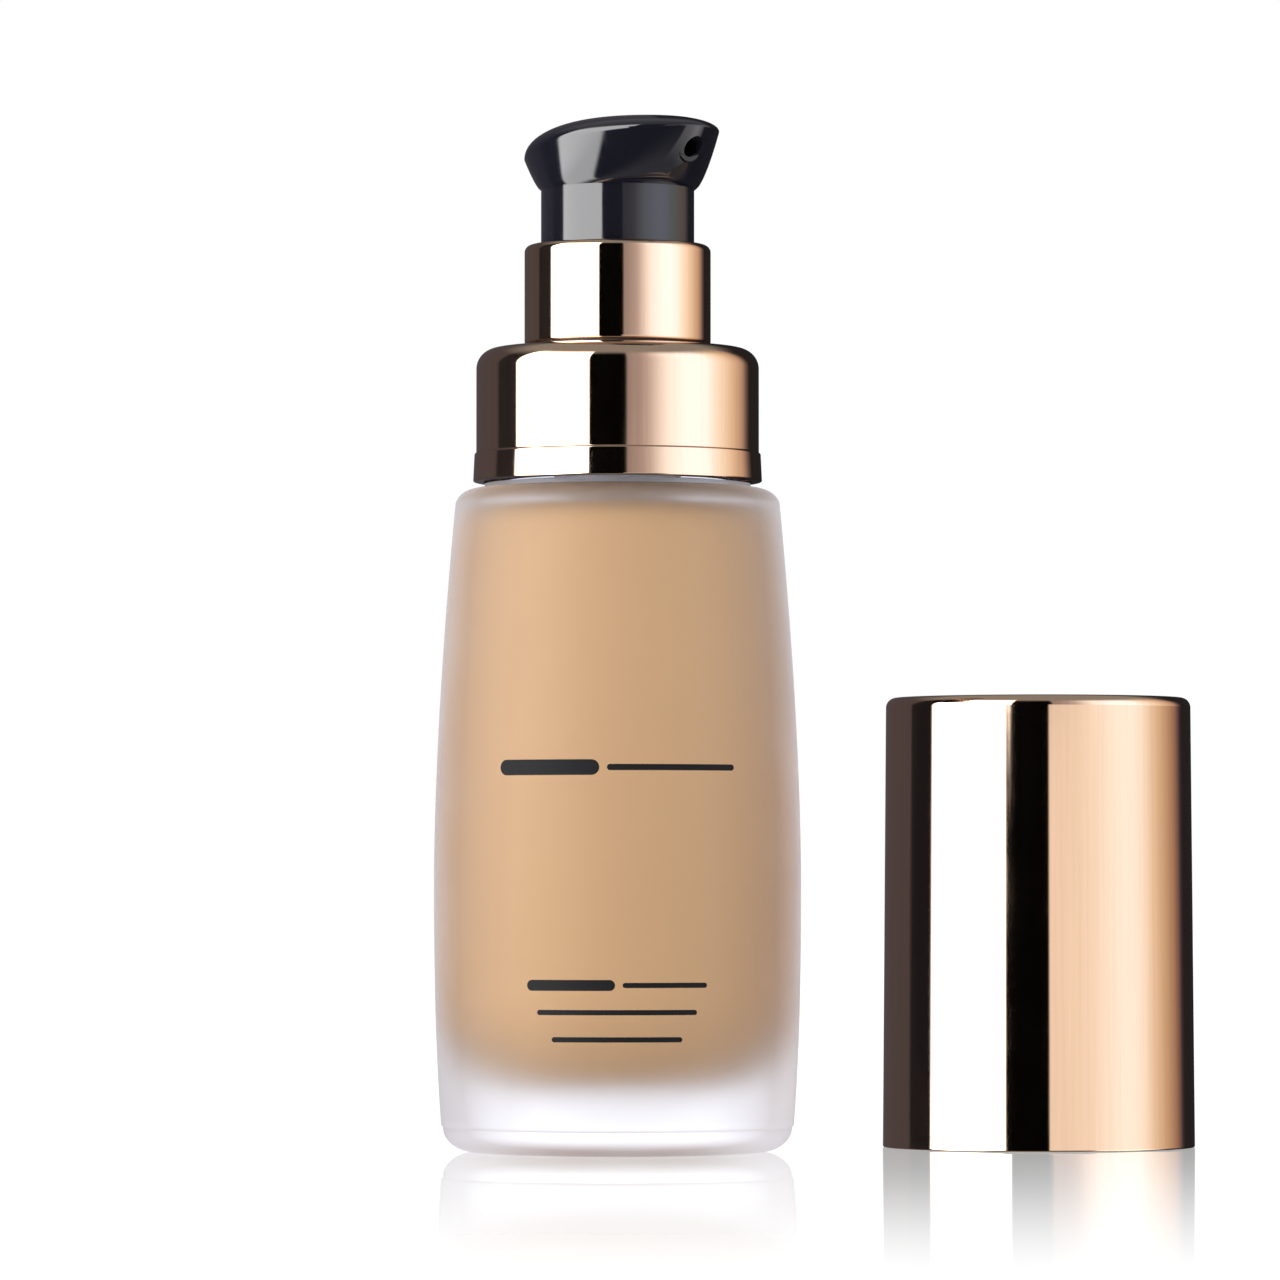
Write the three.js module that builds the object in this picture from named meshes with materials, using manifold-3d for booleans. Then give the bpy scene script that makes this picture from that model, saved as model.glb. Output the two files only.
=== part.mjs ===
// Foundation bottle: a heavy-based glass bottle with a screw-on treatment pump and a lift-off overcap.
// Millimetres, +Z up. The origin is the centre of the bottle's base, on the plane that it stands on.
// The overcap stands beside the bottle on the same plane, as it does while the pump is in use.
import * as THREE from "three";
import { mergeVertices } from "three/addons/utils/BufferGeometryUtils.js";
import Module from "manifold-3d";

const wasm = await Module();
wasm.setup();

// ---------------------------------------------------------------- driving dimensions

const facets = 36; // sides of each large round piece
const fineFacets = 20; // sides of each small round piece inside the pump

const fit = {
  press: 0.05, // radial gap between pieces that are pressed or clipped together
  running: 0.15, // radial gap between pieces that slide or turn past each other
  face: 0.05, // gap between end faces that bear on each other
  liquid: 0.12, // gap between the product and what it wets
  thread: 0.15, // gap between mating thread flanks
};

const glass = {
  bellyRadius: 18,
  bellyHeight: 27,
  bodyHeight: 65,
  heelInset: 0.72, // how far the wall draws in from the belly down to the heel
  shoulderInset: 2.05, // how far the wall draws in from the belly up to the shoulder
  heelPower: 2.6, // powers of the two curves
  shoulderPower: 1.67,
  heelHeight: 2.65,
  seamStep: 0.18, // step at the mould's base seam
  seamRise: 0.25,
  heelRoundRadial: 3.2,
  shoulderRoundRadial: 2.35,
  shoulderRoundHeight: 1.8,
  wall: 3.4,
  baseThickness: 6.6,
  floorRound: 9,
  ceilingRound: 3.8,
  shoulderThickness: 1.4,
  pushUpHeight: 0.5,
  restingWidth: 2.4, // width of the flat ring that the bottle stands on
};

// 24 mm neck finish with a single-start right-hand thread.
const neck = {
  threadRadius: 11.9,
  threadDepth: 1.1,
  boreRadius: 7.4,
  boreFlare: 1.2, // how far the bore opens out under the shoulder
  beadOverhang: 1.15, // beyond the thread
  beadHeight: 0.45,
  lipLand: 0.67, // plain wall over the thread
  lipRound: 0.45,
};
const thread = {
  pitch: 3.175,
  neckTurns: 1.6,
  closureTurns: 1.3,
  engagedTurns: 1.25,
  rootWidth: 1.7,
  crestWidth: 0.5,
  closureRootWidth: 1.1,
  closureCrestWidth: 0.4,
  rootGap: 0.3, // from the closure's crest to the neck's wall
  startHeight: 3.15, // centre of the neck's thread above the bead
  sink: 0.25, // how deep each ridge is rooted in its wall
  stationsPerTurn: 24,
  runOut: 0.12, // share of the ridge over which each end fades
};

const gasket = { thickness: 0.8, setBack: 0.2 };

const housing = {
  flangeSetBack: 0.5, // inside the neck's wall
  flangeThickness: 1,
  boreRadius: 3.1,
  wall: 1,
  boreDepth: 19.2, // from the flange's top to the spring seat
  ballGap: 0.4, // around the ball
  ballRoomDepth: 2.4,
  beadBite: 0.15, // how far the retaining bead reaches over the ball
  beadHeight: 0.3,
  beadSlope: 0.25,
  portRadius: 0.8,
  portLength: 1,
  socketLength: 9.3,
  socketWall: 1,
  ventRadius: 0.4,
  ventDrop: 6,
};
const ballRadius = 1.5;
const dipTube = { outerRadius: 1.5, wall: 0.5, footGap: 1.4, footAngle: 30 };
const fillDrop = 0.3; // head space under the shoulder's ceiling

const stemGuide = {
  plugLength: 4.5,
  flangeWidth: 2.1,
  flangeThickness: 1.2,
  towerWall: 1.45,
  towerHeight: 2,
};
const piston = { length: 5, lipLength: 1, lipRamp: 0.5, waistCut: 0.4 };
const stem = { radius: 2, boreRadius: 0.85, portRadius: 0.35, portRise: 0.7, outletDrop: 1.95 };
const valvePlug = { boreGap: 0.55, headThickness: 0.85, shaftLength: 2.4 };
const spring = {
  wireRadius: 0.25,
  boreGap: 0.65,
  turns: 6.5,
  closedTurns: 0.9,
  closedPitch: 0.55,
  stationsPerTurn: 12,
};

const closure = {
  wall: 1.2,
  threadGap: 0.25, // around the neck's thread
  plateThickness: 1.05,
  plateHoleGap: 0.2,
  bottomGap: 0.7, // above the neck's bead
  cornerRound: 1.5,
  skirtGap: 0.37, // around the actuator's skirt
  turretWall: 0.7,
  turretHeight: 10.25,
};
const lowerCollar = {
  sheet: 0.4,
  topRound: 2,
  sideGap: 0.13,
  topGap: 0.25,
  bandStep: 0.18,
  bandFlare: 0.12,
  bandHeight: 2.8,
  bandRound: 0.12,
  lipWidth: 0.32,
  lipGap: 0.1,
  turretGap: 0.15,
};
const upperCollar = {
  sheet: 0.47,
  sideGap: 0.08,
  topGap: 0.1,
  topRound: 0.7,
  footRound: 0.25,
  standOff: 0.45, // over the lower collar
  lipSetBack: 0.05, // from the turret's bore
};

const pressStroke = 4.8;

const head = {
  azimuth: -49, // degrees from +X to the outlet
  skirtRadius: 7.53,
  skirtWall: 0.8,
  skirtChamfer: 0.15,
  skirtClearance: 1.7, // over the closure at the end of the stroke
  flankClearance: 0.73, // over the upper collar at the end of the stroke
  flankStep: 0.12,
  peakRise: 7, // crown, rim and outlet over the flank's foot
  peakForward: 2,
  crownPower: 2.2,
  rimRise: 5.3,
  rimForward: 12,
  rimDrop: 0.0061, // the rim falls with the square of the distance behind rimForward
  rimOverhang: 2.23, // the four terms of the rim's outline, the first one beyond the skirt
  rimShift: 1.02,
  rimStretch: 1.33,
  rimPoint: 0.35,
  backFlare: 0.8, // powers of the flank's flare
  beakFlare: 0.62,
  crownThickness: 3.05,
  cavityChamfer: 1.3,
  outletRise: 3.4,
  outletRadius: 1,
  outletWall: 1.76, // from the rim's tip back to the seat of the outlet tube's end
};
const core = {
  wall: 1.15,
  tubeRadius: 1.4,
  tubeBoreRadius: 0.95,
  channelRadius: 0.9,
  clearance: 1.2, // over the stem guide at the end of the stroke
};

const cap = {
  standOff: 8.45, // from the bottle, along X
  y: 14,
  bandGap: 0.07, // around the lower collar's band
  draft: 0.35, // how much narrower the top is than the mouth
  headRoom: 7.45, // over the actuator when the cap is on
  topRound: 1,
  footRound: 0.15,
  sheet: 0.5,
  topThickness: 0.6,
  linerWall: 0.75,
  linerTop: 0.9,
  linerCorner: 1,
  linerInset: 0.4,
  leadIn: 0.3,
  beadHeight: 2.6,
  beadLand: 0.5,
  beadDepth: 0.05,
};

// ---------------------------------------------------------------- sizes that follow

const neckWallRadius = neck.threadRadius - neck.threadDepth;
const beadTop = glass.bodyHeight + neck.beadHeight;
const threadStart = beadTop + thread.startHeight;
const threadEnd = threadStart + thread.neckTurns * thread.pitch + thread.rootWidth / 2;
const lipTop = threadEnd + neck.lipLand;
const flangeBottom = lipTop + gasket.thickness;
const flangeTop = flangeBottom + housing.flangeThickness;
const springSeat = flangeTop - housing.boreDepth;
const ballSeatTop = springSeat - housing.ballRoomDepth;
const ballRoomRadius = ballRadius + housing.ballGap;
const ballSeatBottom = ballSeatTop - (ballRoomRadius - housing.portRadius);
const socketTop = ballSeatBottom - housing.portLength;
const socketBottom = socketTop - housing.socketLength;
const socketRadius = dipTube.outerRadius + fit.press;
const housingRadius = housing.boreRadius + housing.wall;
const ceilingHeight = glass.bodyHeight - glass.shoulderThickness;
const fillTop = ceilingHeight - fillDrop;

const guideBottom = flangeTop - stemGuide.plugLength;
const pistonTop = guideBottom - 4 * fit.face;
const pistonBottom = pistonTop - piston.length;
const plugTop = pistonBottom - fit.face;
const plugBottom = plugTop - valvePlug.headThickness;
const guideFlangeRadius = housing.boreRadius + stemGuide.flangeWidth;
const guideFlangeTop = flangeTop + stemGuide.flangeThickness;
const guideTop = guideFlangeTop + stemGuide.towerHeight;

const plateBottom = flangeTop + fit.face;
const plateTop = plateBottom + closure.plateThickness;
const closureBottom = beadTop + closure.bottomGap;
const closureBore = neck.threadRadius + closure.threadGap;
const closureRadius = closureBore + closure.wall;
const turretBoreRadius = head.skirtRadius + closure.skirtGap;
const turretRadius = turretBoreRadius + closure.turretWall;
const turretTop = plateTop + closure.turretHeight;

const collarInner = closureRadius + lowerCollar.sideGap;
const collarRadius = collarInner + lowerCollar.sheet;
const collarTop = plateTop + lowerCollar.topGap + lowerCollar.sheet;
const collarLipTop = closureBottom - lowerCollar.lipGap;
const collarBottom = collarLipTop - lowerCollar.sheet;
const bandTopRadius = collarRadius + lowerCollar.bandStep;
const bandFootRadius = bandTopRadius + lowerCollar.bandFlare;
const sleeveInner = turretRadius + upperCollar.sideGap;
const sleeveRadius = sleeveInner + upperCollar.sheet;
const sleeveTop = turretTop + upperCollar.topGap + upperCollar.sheet;
const sleeveBottom = collarTop + upperCollar.standOff;

const skirtBottom = plateTop + pressStroke + head.skirtClearance;
const flankBottom = sleeveTop + pressStroke + head.flankClearance;
const rimTop = flankBottom + head.rimRise;
const rimReach = head.skirtRadius + head.rimOverhang;
const crownTop = flankBottom + head.peakRise;
const headCavityTop = crownTop - head.crownThickness;
const outletHeight = flankBottom + head.outletRise;
const outletSeat = rimReach + head.rimShift + head.rimStretch + head.rimPoint - head.outletWall;
const stemTop = outletHeight - stem.outletDrop;
const coreBottom = guideTop + pressStroke + core.clearance;

const linerMouthRadius = bandFootRadius + cap.bandGap;
const capMouthRadius = linerMouthRadius + cap.linerWall + fit.press + cap.sheet;
const capTopRadius = capMouthRadius - cap.draft;
const linerTopHeight = crownTop - collarBottom + cap.headRoom + cap.linerTop;
const capHeight = linerTopHeight + fit.face + cap.topThickness;

// ---------------------------------------------------------------- shape helpers

const at = (r, z) => new THREE.Vector2(r, z);

// Points of an elliptical arc in a lathe profile, with angles in degrees from the +r direction.
function arc(centreR, centreZ, sizeR, sizeZ, fromAngle, toAngle, steps) {
  const points = [];
  for (let k = 0; k <= steps; k += 1) {
    const angle = THREE.MathUtils.degToRad(THREE.MathUtils.lerp(fromAngle, toAngle, k / steps));
    points.push(at(centreR + sizeR * Math.cos(angle), centreZ + sizeZ * Math.sin(angle)));
  }
  return points;
}

// Merges shared vertices, drops flat triangles and turns the faces outwards.
function closedGeometry(geometry) {
  geometry.deleteAttribute("normal");
  geometry.deleteAttribute("uv");
  const merged = mergeVertices(geometry, 1e-5);
  const position = merged.attributes.position;
  const a = new THREE.Vector3();
  const b = new THREE.Vector3();
  const c = new THREE.Vector3();
  const kept = [];
  let volume = 0;
  for (let k = 0; k < merged.index.count; k += 3) {
    const [i, j, l] = [0, 1, 2].map((n) => merged.index.getX(k + n));
    if (i === j || j === l || l === i) continue;
    kept.push(i, j, l);
    a.fromBufferAttribute(position, i);
    b.fromBufferAttribute(position, j);
    c.fromBufferAttribute(position, l);
    volume += a.dot(b.cross(c));
  }
  if (volume < 0) {
    for (let k = 0; k < kept.length; k += 3) [kept[k], kept[k + 1]] = [kept[k + 1], kept[k]];
  }
  merged.setIndex(kept);
  return merged;
}

// A turned piece. A ring's profile is closed on itself; a profile that meets the axis stays open there.
function turned(profile, sides = facets) {
  const first = profile[0];
  const last = profile[profile.length - 1];
  const points = first.x === 0 && last.x === 0 ? profile : [...profile, first.clone()];
  const geometry = new THREE.LatheGeometry(points, sides);
  geometry.rotateX(Math.PI / 2);
  return closedGeometry(geometry);
}

// A solid through equal rings of points, closed at both ends by fans.
function lofted(rings) {
  const count = rings[0].length;
  const points = rings.flat();
  const index = [];
  for (let k = 0; k + 1 < rings.length; k += 1) {
    for (let j = 0; j < count; j += 1) {
      const a = k * count + j;
      const b = k * count + ((j + 1) % count);
      index.push(a, b, b + count, a, b + count, a + count);
    }
  }
  for (const [ring, start] of [[rings[0], 0], [rings.at(-1), (rings.length - 1) * count]]) {
    const centre = ring.reduce((sum, p) => sum.add(p), new THREE.Vector3()).divideScalar(count);
    const hub = points.push(centre) - 1;
    for (let j = 0; j < count; j += 1) {
      const edge = [start + j, start + ((j + 1) % count)];
      if (start === 0) edge.reverse();
      index.push(hub, ...edge);
    }
  }
  const geometry = new THREE.BufferGeometry().setFromPoints(points);
  geometry.setIndex(index);
  return closedGeometry(geometry);
}

function solid(geometry) {
  return new wasm.Manifold(new wasm.Mesh({
    numProp: 3,
    vertProperties: new Float32Array(geometry.attributes.position.array),
    triVerts: new Uint32Array(geometry.index.array),
  }));
}

function fromSolid(manifold) {
  const mesh = manifold.getMesh();
  const geometry = new THREE.BufferGeometry();
  geometry.setAttribute("position", new THREE.BufferAttribute(mesh.vertProperties, 3));
  geometry.setIndex(new THREE.BufferAttribute(mesh.triVerts, 1));
  return geometry;
}

// A round bar along +X from x0 to x1 at height z.
function bar(radius, x0, x1, z, sides = fineFacets) {
  const geometry = new THREE.CylinderGeometry(radius, radius, x1 - x0, sides);
  geometry.rotateZ(Math.PI / 2);
  geometry.translate((x0 + x1) / 2, 0, z);
  return solid(closedGeometry(geometry));
}

// A round post along +Z from z0 to z1 on the axis.
function post(radius, z0, z1, sides = fineFacets) {
  return solid(turned([at(0, z0), at(radius, z0), at(radius, z1), at(0, z1)], sides));
}

// A thread ridge. It rises a pitch each turn and fades into its wall at both ends.
function threadRidge({ rootRadius, crestRadius, rootWidth, crestWidth, fromTurn, turns, height }) {
  const outwards = Math.sign(crestRadius - rootRadius);
  const stations = Math.round(turns * thread.stationsPerTurn);
  const rings = [];
  for (let k = 0; k <= stations; k += 1) {
    const share = k / stations;
    const fade = Math.min(1, share / thread.runOut, (1 - share) / thread.runOut);
    const crest = rootRadius + (crestRadius - rootRadius) * fade;
    const root = rootRadius - outwards * thread.sink;
    const turn = fromTurn + turns * share;
    const z = height + thread.pitch * turn;
    const section = [
      at(root, z - rootWidth / 2),
      at(crest, z - crestWidth / 2),
      at(crest, z + crestWidth / 2),
      at(root, z + rootWidth / 2),
    ];
    const angle = 2 * Math.PI * turn;
    rings.push(section.map((p) => new THREE.Vector3(p.x * Math.cos(angle), p.x * Math.sin(angle), p.y)));
  }
  return solid(lofted(rings));
}

// ---------------------------------------------------------------- glass bottle and its contents

const shoulderStart = glass.bodyHeight - glass.shoulderRoundHeight;

function barrelRadius(z) {
  const below = (glass.bellyHeight - z) / (glass.bellyHeight - glass.heelHeight);
  const above = (z - glass.bellyHeight) / (shoulderStart - glass.bellyHeight);
  const inset = z < glass.bellyHeight
    ? glass.heelInset * below ** glass.heelPower
    : glass.shoulderInset * above ** glass.shoulderPower;
  return glass.bellyRadius - inset;
}

function barrel(fromZ, toZ, steps, inset = 0) {
  const points = [];
  for (let k = 0; k <= steps; k += 1) {
    const z = THREE.MathUtils.lerp(fromZ, toZ, k / steps);
    points.push(at(barrelRadius(z) - inset, z));
  }
  return points;
}

// The inside of the bottle from the axis at its floor up to a height, drawn in by a gap.
// The ceiling's round is limited by the width between the wall and the flared bore.
function cavity(gap, top) {
  const floorZ = glass.baseThickness;
  const floorArcZ = floorZ + glass.floorRound;
  const floorArcR = barrelRadius(floorArcZ) - glass.wall - glass.floorRound;
  const floorSize = glass.floorRound - gap;
  const ceilingWidth = barrelRadius(shoulderStart) - glass.wall - neck.boreRadius - neck.boreFlare;
  const ceilingRound = Math.min(glass.ceilingRound, ceilingWidth);
  const ceilingSize = ceilingRound - gap;
  const ceilingArcZ = ceilingHeight - ceilingRound;
  const ceilingArcR = barrelRadius(ceilingArcZ) - glass.wall - ceilingRound;
  const sideTop = Math.min(top, ceilingArcZ);
  const toAngle = THREE.MathUtils.radToDeg(Math.asin(Math.min(1, (top - sideTop) / ceilingSize)));
  return [
    at(0, floorZ + gap),
    ...arc(floorArcR, floorArcZ, floorSize, floorSize, -90, 0, 4),
    ...barrel(floorArcZ, sideTop, 5, glass.wall + gap).slice(1, -1),
    ...arc(ceilingArcR, Math.min(ceilingArcZ, sideTop), ceilingSize, ceilingSize, 0, toAngle, 5),
  ];
}

function glassBottle() {
  const heelRadius = barrelRadius(glass.heelHeight);
  const seamRadius = heelRadius - glass.seamStep;
  const seamHeight = glass.heelHeight - glass.seamRise;
  const restRadius = seamRadius - glass.heelRoundRadial;
  const shoulderRadius = barrelRadius(shoulderStart);
  const beadRadius = neck.threadRadius + neck.beadOverhang;
  const profile = [
    at(0, glass.pushUpHeight),
    at(restRadius - glass.restingWidth - glass.pushUpHeight, glass.pushUpHeight),
    at(restRadius - glass.restingWidth, 0),
    ...arc(restRadius, seamHeight, glass.heelRoundRadial, seamHeight, -90, 0, 4),
    ...barrel(glass.heelHeight, shoulderStart, 9),
    ...arc(
      shoulderRadius - glass.shoulderRoundRadial, shoulderStart,
      glass.shoulderRoundRadial, glass.shoulderRoundHeight, 0, 90, 3,
    ).slice(1),
    at(beadRadius, glass.bodyHeight),
    at(beadRadius, beadTop),
    at(neckWallRadius, beadTop),
    ...arc(neckWallRadius - neck.lipRound, lipTop - neck.lipRound, neck.lipRound, neck.lipRound, 0, 90, 2),
    ...arc(neck.boreRadius + neck.lipRound, lipTop - neck.lipRound, neck.lipRound, neck.lipRound, 90, 180, 2),
    at(neck.boreRadius, glass.bodyHeight),
    at(neck.boreRadius + neck.boreFlare, ceilingHeight),
    ...cavity(0, ceilingHeight).reverse(),
  ];
  const ridge = threadRidge({
    rootRadius: neckWallRadius,
    crestRadius: neck.threadRadius,
    rootWidth: thread.rootWidth,
    crestWidth: thread.crestWidth,
    fromTurn: 0,
    turns: thread.neckTurns,
    height: threadStart,
  });
  return fromSolid(solid(turned(profile)).add(ridge));
}

function foundationFill() {
  const tubeGap = dipTube.outerRadius + 2 * fit.running;
  const tubeFoot = glass.baseThickness + dipTube.footGap;
  const housingGap = housingRadius + 2 * fit.running;
  return turned([
    ...cavity(fit.liquid, fillTop),
    at(housingGap, fillTop),
    at(housingGap, socketBottom - 2 * fit.running),
    at(tubeGap, socketBottom - 2 * fit.running),
    at(tubeGap, tubeFoot - 2 * fit.running),
    at(0, tubeFoot - 2 * fit.running),
  ]);
}

// ---------------------------------------------------------------- pump engine

function dipTubePiece() {
  const bottom = glass.baseThickness + dipTube.footGap;
  const top = socketTop - fit.running;
  const inner = dipTube.outerRadius - dipTube.wall;
  const tube = solid(turned([
    at(inner, bottom),
    at(dipTube.outerRadius, bottom),
    at(dipTube.outerRadius, top),
    at(inner, top),
  ], fineFacets));
  const size = 6 * dipTube.outerRadius;
  const wedge = new THREE.BoxGeometry(size, size, size);
  wedge.translate(0, 0, -size / 2);
  wedge.rotateY(THREE.MathUtils.degToRad(dipTube.footAngle));
  wedge.translate(0, 0, bottom + dipTube.outerRadius * Math.tan(THREE.MathUtils.degToRad(dipTube.footAngle)));
  return fromSolid(tube.subtract(solid(closedGeometry(wedge))));
}

function pumpHousing() {
  const socketOuter = socketRadius + housing.socketWall;
  const flangeRadius = neckWallRadius - housing.flangeSetBack;
  const retainerRadius = ballRadius - housing.beadBite;
  const retainerBottom = springSeat - housing.beadHeight;
  const body = solid(turned([
    at(socketRadius, socketBottom),
    at(socketOuter, socketBottom),
    at(socketOuter, socketTop),
    at(housingRadius, ballSeatTop),
    at(housingRadius, flangeBottom),
    at(flangeRadius, flangeBottom),
    at(flangeRadius, flangeTop),
    at(housing.boreRadius, flangeTop),
    at(housing.boreRadius, springSeat),
    at(retainerRadius, springSeat),
    at(retainerRadius, retainerBottom),
    at(ballRoomRadius, retainerBottom - housing.beadSlope),
    at(ballRoomRadius, ballSeatTop),
    at(housing.portRadius, ballSeatBottom),
    at(housing.portRadius, socketTop),
    at(socketRadius, socketTop),
  ], fineFacets));
  const vent = bar(housing.ventRadius, 0, 2 * housingRadius, flangeTop - housing.ventDrop, 12);
  return fromSolid(body.subtract(vent));
}

function inletBall() {
  return closedGeometry(new THREE.SphereGeometry(ballRadius, 16, 10));
}

function returnSpring() {
  const bottom = springSeat + fit.face + spring.wireRadius;
  const top = plugBottom - fit.face - spring.wireRadius;
  const closedRise = spring.closedTurns * spring.closedPitch;
  const openTurns = spring.turns - 2 * spring.closedTurns;
  const openPitch = (top - bottom - 2 * closedRise) / openTurns;
  const meanRadius = housing.boreRadius - spring.boreGap - spring.wireRadius;
  const sides = 6;
  const stations = Math.round(spring.turns * spring.stationsPerTurn);
  const rings = [];
  for (let k = 0; k <= stations; k += 1) {
    const turn = (spring.turns * k) / stations;
    const lower = Math.min(turn, spring.closedTurns) / spring.closedTurns;
    const upper = Math.max(0, turn - spring.turns + spring.closedTurns) / spring.closedTurns;
    const open = THREE.MathUtils.clamp(turn - spring.closedTurns, 0, openTurns);
    const z = bottom + closedRise * (lower + upper) + openPitch * open;
    const angle = 2 * Math.PI * turn;
    const ring = [];
    for (let j = 0; j < sides; j += 1) {
      const around = (2 * Math.PI * j) / sides;
      const r = meanRadius + spring.wireRadius * Math.cos(around);
      const wireZ = z + spring.wireRadius * Math.sin(around);
      ring.push(new THREE.Vector3(r * Math.cos(angle), r * Math.sin(angle), wireZ));
    }
    rings.push(ring);
  }
  return lofted(rings);
}

function stemGuidePiece() {
  const inner = stem.radius + fit.running;
  const plugRadius = housing.boreRadius - fit.press;
  const towerRadius = inner + stemGuide.towerWall;
  return turned([
    at(inner, guideBottom),
    at(plugRadius, guideBottom),
    at(plugRadius, flangeTop),
    at(guideFlangeRadius, flangeTop),
    at(guideFlangeRadius, guideFlangeTop),
    at(towerRadius, guideFlangeTop),
    at(towerRadius, guideTop),
    at(inner, guideTop),
  ], fineFacets);
}

function neckGasket() {
  const inner = neck.boreRadius + gasket.setBack;
  const outer = neckWallRadius - gasket.setBack;
  return turned([
    at(inner, lipTop),
    at(outer, lipTop),
    at(outer, flangeBottom),
    at(inner, flangeBottom),
  ]);
}

function pistonPiece() {
  const outer = housing.boreRadius - fit.press;
  const waist = outer - piston.waistCut;
  const inner = stem.radius + fit.press;
  const waistInset = piston.lipLength + piston.lipRamp;
  return turned([
    at(inner, pistonBottom),
    at(outer, pistonBottom),
    at(outer, pistonBottom + piston.lipLength),
    at(waist, pistonBottom + waistInset),
    at(waist, pistonTop - waistInset),
    at(outer, pistonTop - piston.lipLength),
    at(outer, pistonTop),
    at(inner, pistonTop),
  ], fineFacets);
}

function valvePlugPiece() {
  const headRadius = housing.boreRadius - valvePlug.boreGap;
  const shaft = stem.boreRadius - fit.press;
  return turned([
    at(0, plugBottom),
    at(headRadius, plugBottom),
    at(headRadius, plugTop),
    at(shaft, plugTop),
    at(shaft, plugTop + valvePlug.shaftLength),
    at(0, plugTop + valvePlug.shaftLength),
  ], fineFacets);
}

function pumpStem() {
  const bottom = plugTop + fit.face;
  const tube = post(stem.radius, bottom, stemTop);
  const bore = post(stem.boreRadius, bottom - 1, stemTop + 1);
  const ports = bar(stem.portRadius, -2 * stem.radius, 2 * stem.radius, bottom + stem.portRise, 10);
  return fromSolid(tube.subtract(bore).subtract(ports));
}

// ---------------------------------------------------------------- closure and collars

function screwClosure() {
  const hole = guideFlangeRadius + closure.plateHoleGap;
  const round = closure.cornerRound;
  const body = solid(turned([
    at(closureBore, closureBottom),
    at(closureRadius, closureBottom),
    ...arc(closureRadius - round, plateTop - round, round, round, 0, 90, 3),
    at(turretRadius, plateTop),
    at(turretRadius, turretTop),
    at(turretBoreRadius, turretTop),
    at(turretBoreRadius, plateTop),
    at(hole, plateTop),
    at(hole, plateBottom),
    at(closureBore, plateBottom),
  ]));
  // The closure's thread bears on the underside of the neck's thread, a flank's gap below it.
  const flankOffset = (thread.rootWidth + thread.closureCrestWidth) / 2 + fit.thread;
  const ridge = threadRidge({
    rootRadius: closureBore,
    crestRadius: neckWallRadius + thread.rootGap,
    rootWidth: thread.closureRootWidth,
    crestWidth: thread.closureCrestWidth,
    fromTurn: thread.neckTurns - thread.engagedTurns,
    turns: thread.closureTurns,
    height: threadStart - flankOffset,
  });
  return fromSolid(body.add(ridge));
}

function lowerCollarPiece() {
  const { sheet, topRound, bandHeight, bandRound, lipWidth } = lowerCollar;
  const bandTop = collarBottom + bandHeight;
  const hole = turretRadius + lowerCollar.turretGap;
  const outerArcR = collarRadius - topRound;
  const innerRound = topRound - sheet;
  return turned([
    at(collarInner - lipWidth, collarBottom),
    ...arc(bandFootRadius - bandRound, collarBottom + bandRound, bandRound, bandRound, -90, 0, 2),
    ...arc(bandTopRadius - bandRound, bandTop - bandRound, bandRound, bandRound, 0, 90, 2),
    at(collarRadius, bandTop),
    ...arc(outerArcR, collarTop - topRound, topRound, topRound, 0, 90, 4),
    at(hole, collarTop),
    at(hole, collarTop - sheet),
    ...arc(outerArcR, collarTop - topRound, innerRound, innerRound, 90, 0, 3),
    at(collarInner, collarLipTop),
    at(collarInner - lipWidth, collarLipTop),
  ]);
}

function upperCollarPiece() {
  const { sheet, topRound, footRound } = upperCollar;
  const lipInnerRadius = turretBoreRadius + upperCollar.lipSetBack;
  return turned([
    at(sleeveInner, sleeveBottom),
    ...arc(sleeveRadius - footRound, sleeveBottom + footRound, footRound, footRound, -90, 0, 2),
    ...arc(sleeveRadius - topRound, sleeveTop - topRound, topRound, topRound, 0, 90, 3),
    at(lipInnerRadius, sleeveTop),
    at(lipInnerRadius, sleeveTop - sheet),
    at(sleeveInner, sleeveTop - sheet),
  ]);
}

// ---------------------------------------------------------------- actuator, with its outlet along +X

// The rim's outline by the angle of its outward normal, as a point (along the outlet, across it).
function rimOutline(angle) {
  const { rimShift, rimStretch, rimPoint } = head;
  const reach = rimReach + rimShift * Math.cos(angle) + rimStretch * Math.cos(2 * angle)
    + rimPoint * Math.cos(3 * angle);
  const slope = -rimShift * Math.sin(angle) - 2 * rimStretch * Math.sin(2 * angle)
    - 3 * rimPoint * Math.sin(3 * angle);
  return at(
    reach * Math.cos(angle) - slope * Math.sin(angle),
    reach * Math.sin(angle) + slope * Math.cos(angle),
  );
}

function rimHeight(alongOutlet) {
  return rimTop - head.rimDrop * (head.rimForward - alongOutlet) ** 2;
}

function headRing(place) {
  const ring = [];
  for (let j = 0; j < facets; j += 1) ring.push(place((2 * Math.PI * j) / facets));
  return ring;
}

function circleRing(radius, z) {
  return headRing((angle) => new THREE.Vector3(radius * Math.cos(angle), radius * Math.sin(angle), z));
}

// The flank runs from the circle over the skirt to the rim; rise goes from 0 to 1.
function flankRing(rise) {
  const foot = head.skirtRadius + head.flankStep;
  return headRing((angle) => {
    const rim = rimOutline(angle);
    const power = THREE.MathUtils.lerp(head.beakFlare, head.backFlare, (1 - Math.cos(angle)) / 2);
    const flare = rise ** power;
    return new THREE.Vector3(
      THREE.MathUtils.lerp(foot * Math.cos(angle), rim.x, flare),
      THREE.MathUtils.lerp(foot * Math.sin(angle), rim.y, flare),
      THREE.MathUtils.lerp(flankBottom, rimHeight(rim.x), rise),
    );
  });
}

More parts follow.
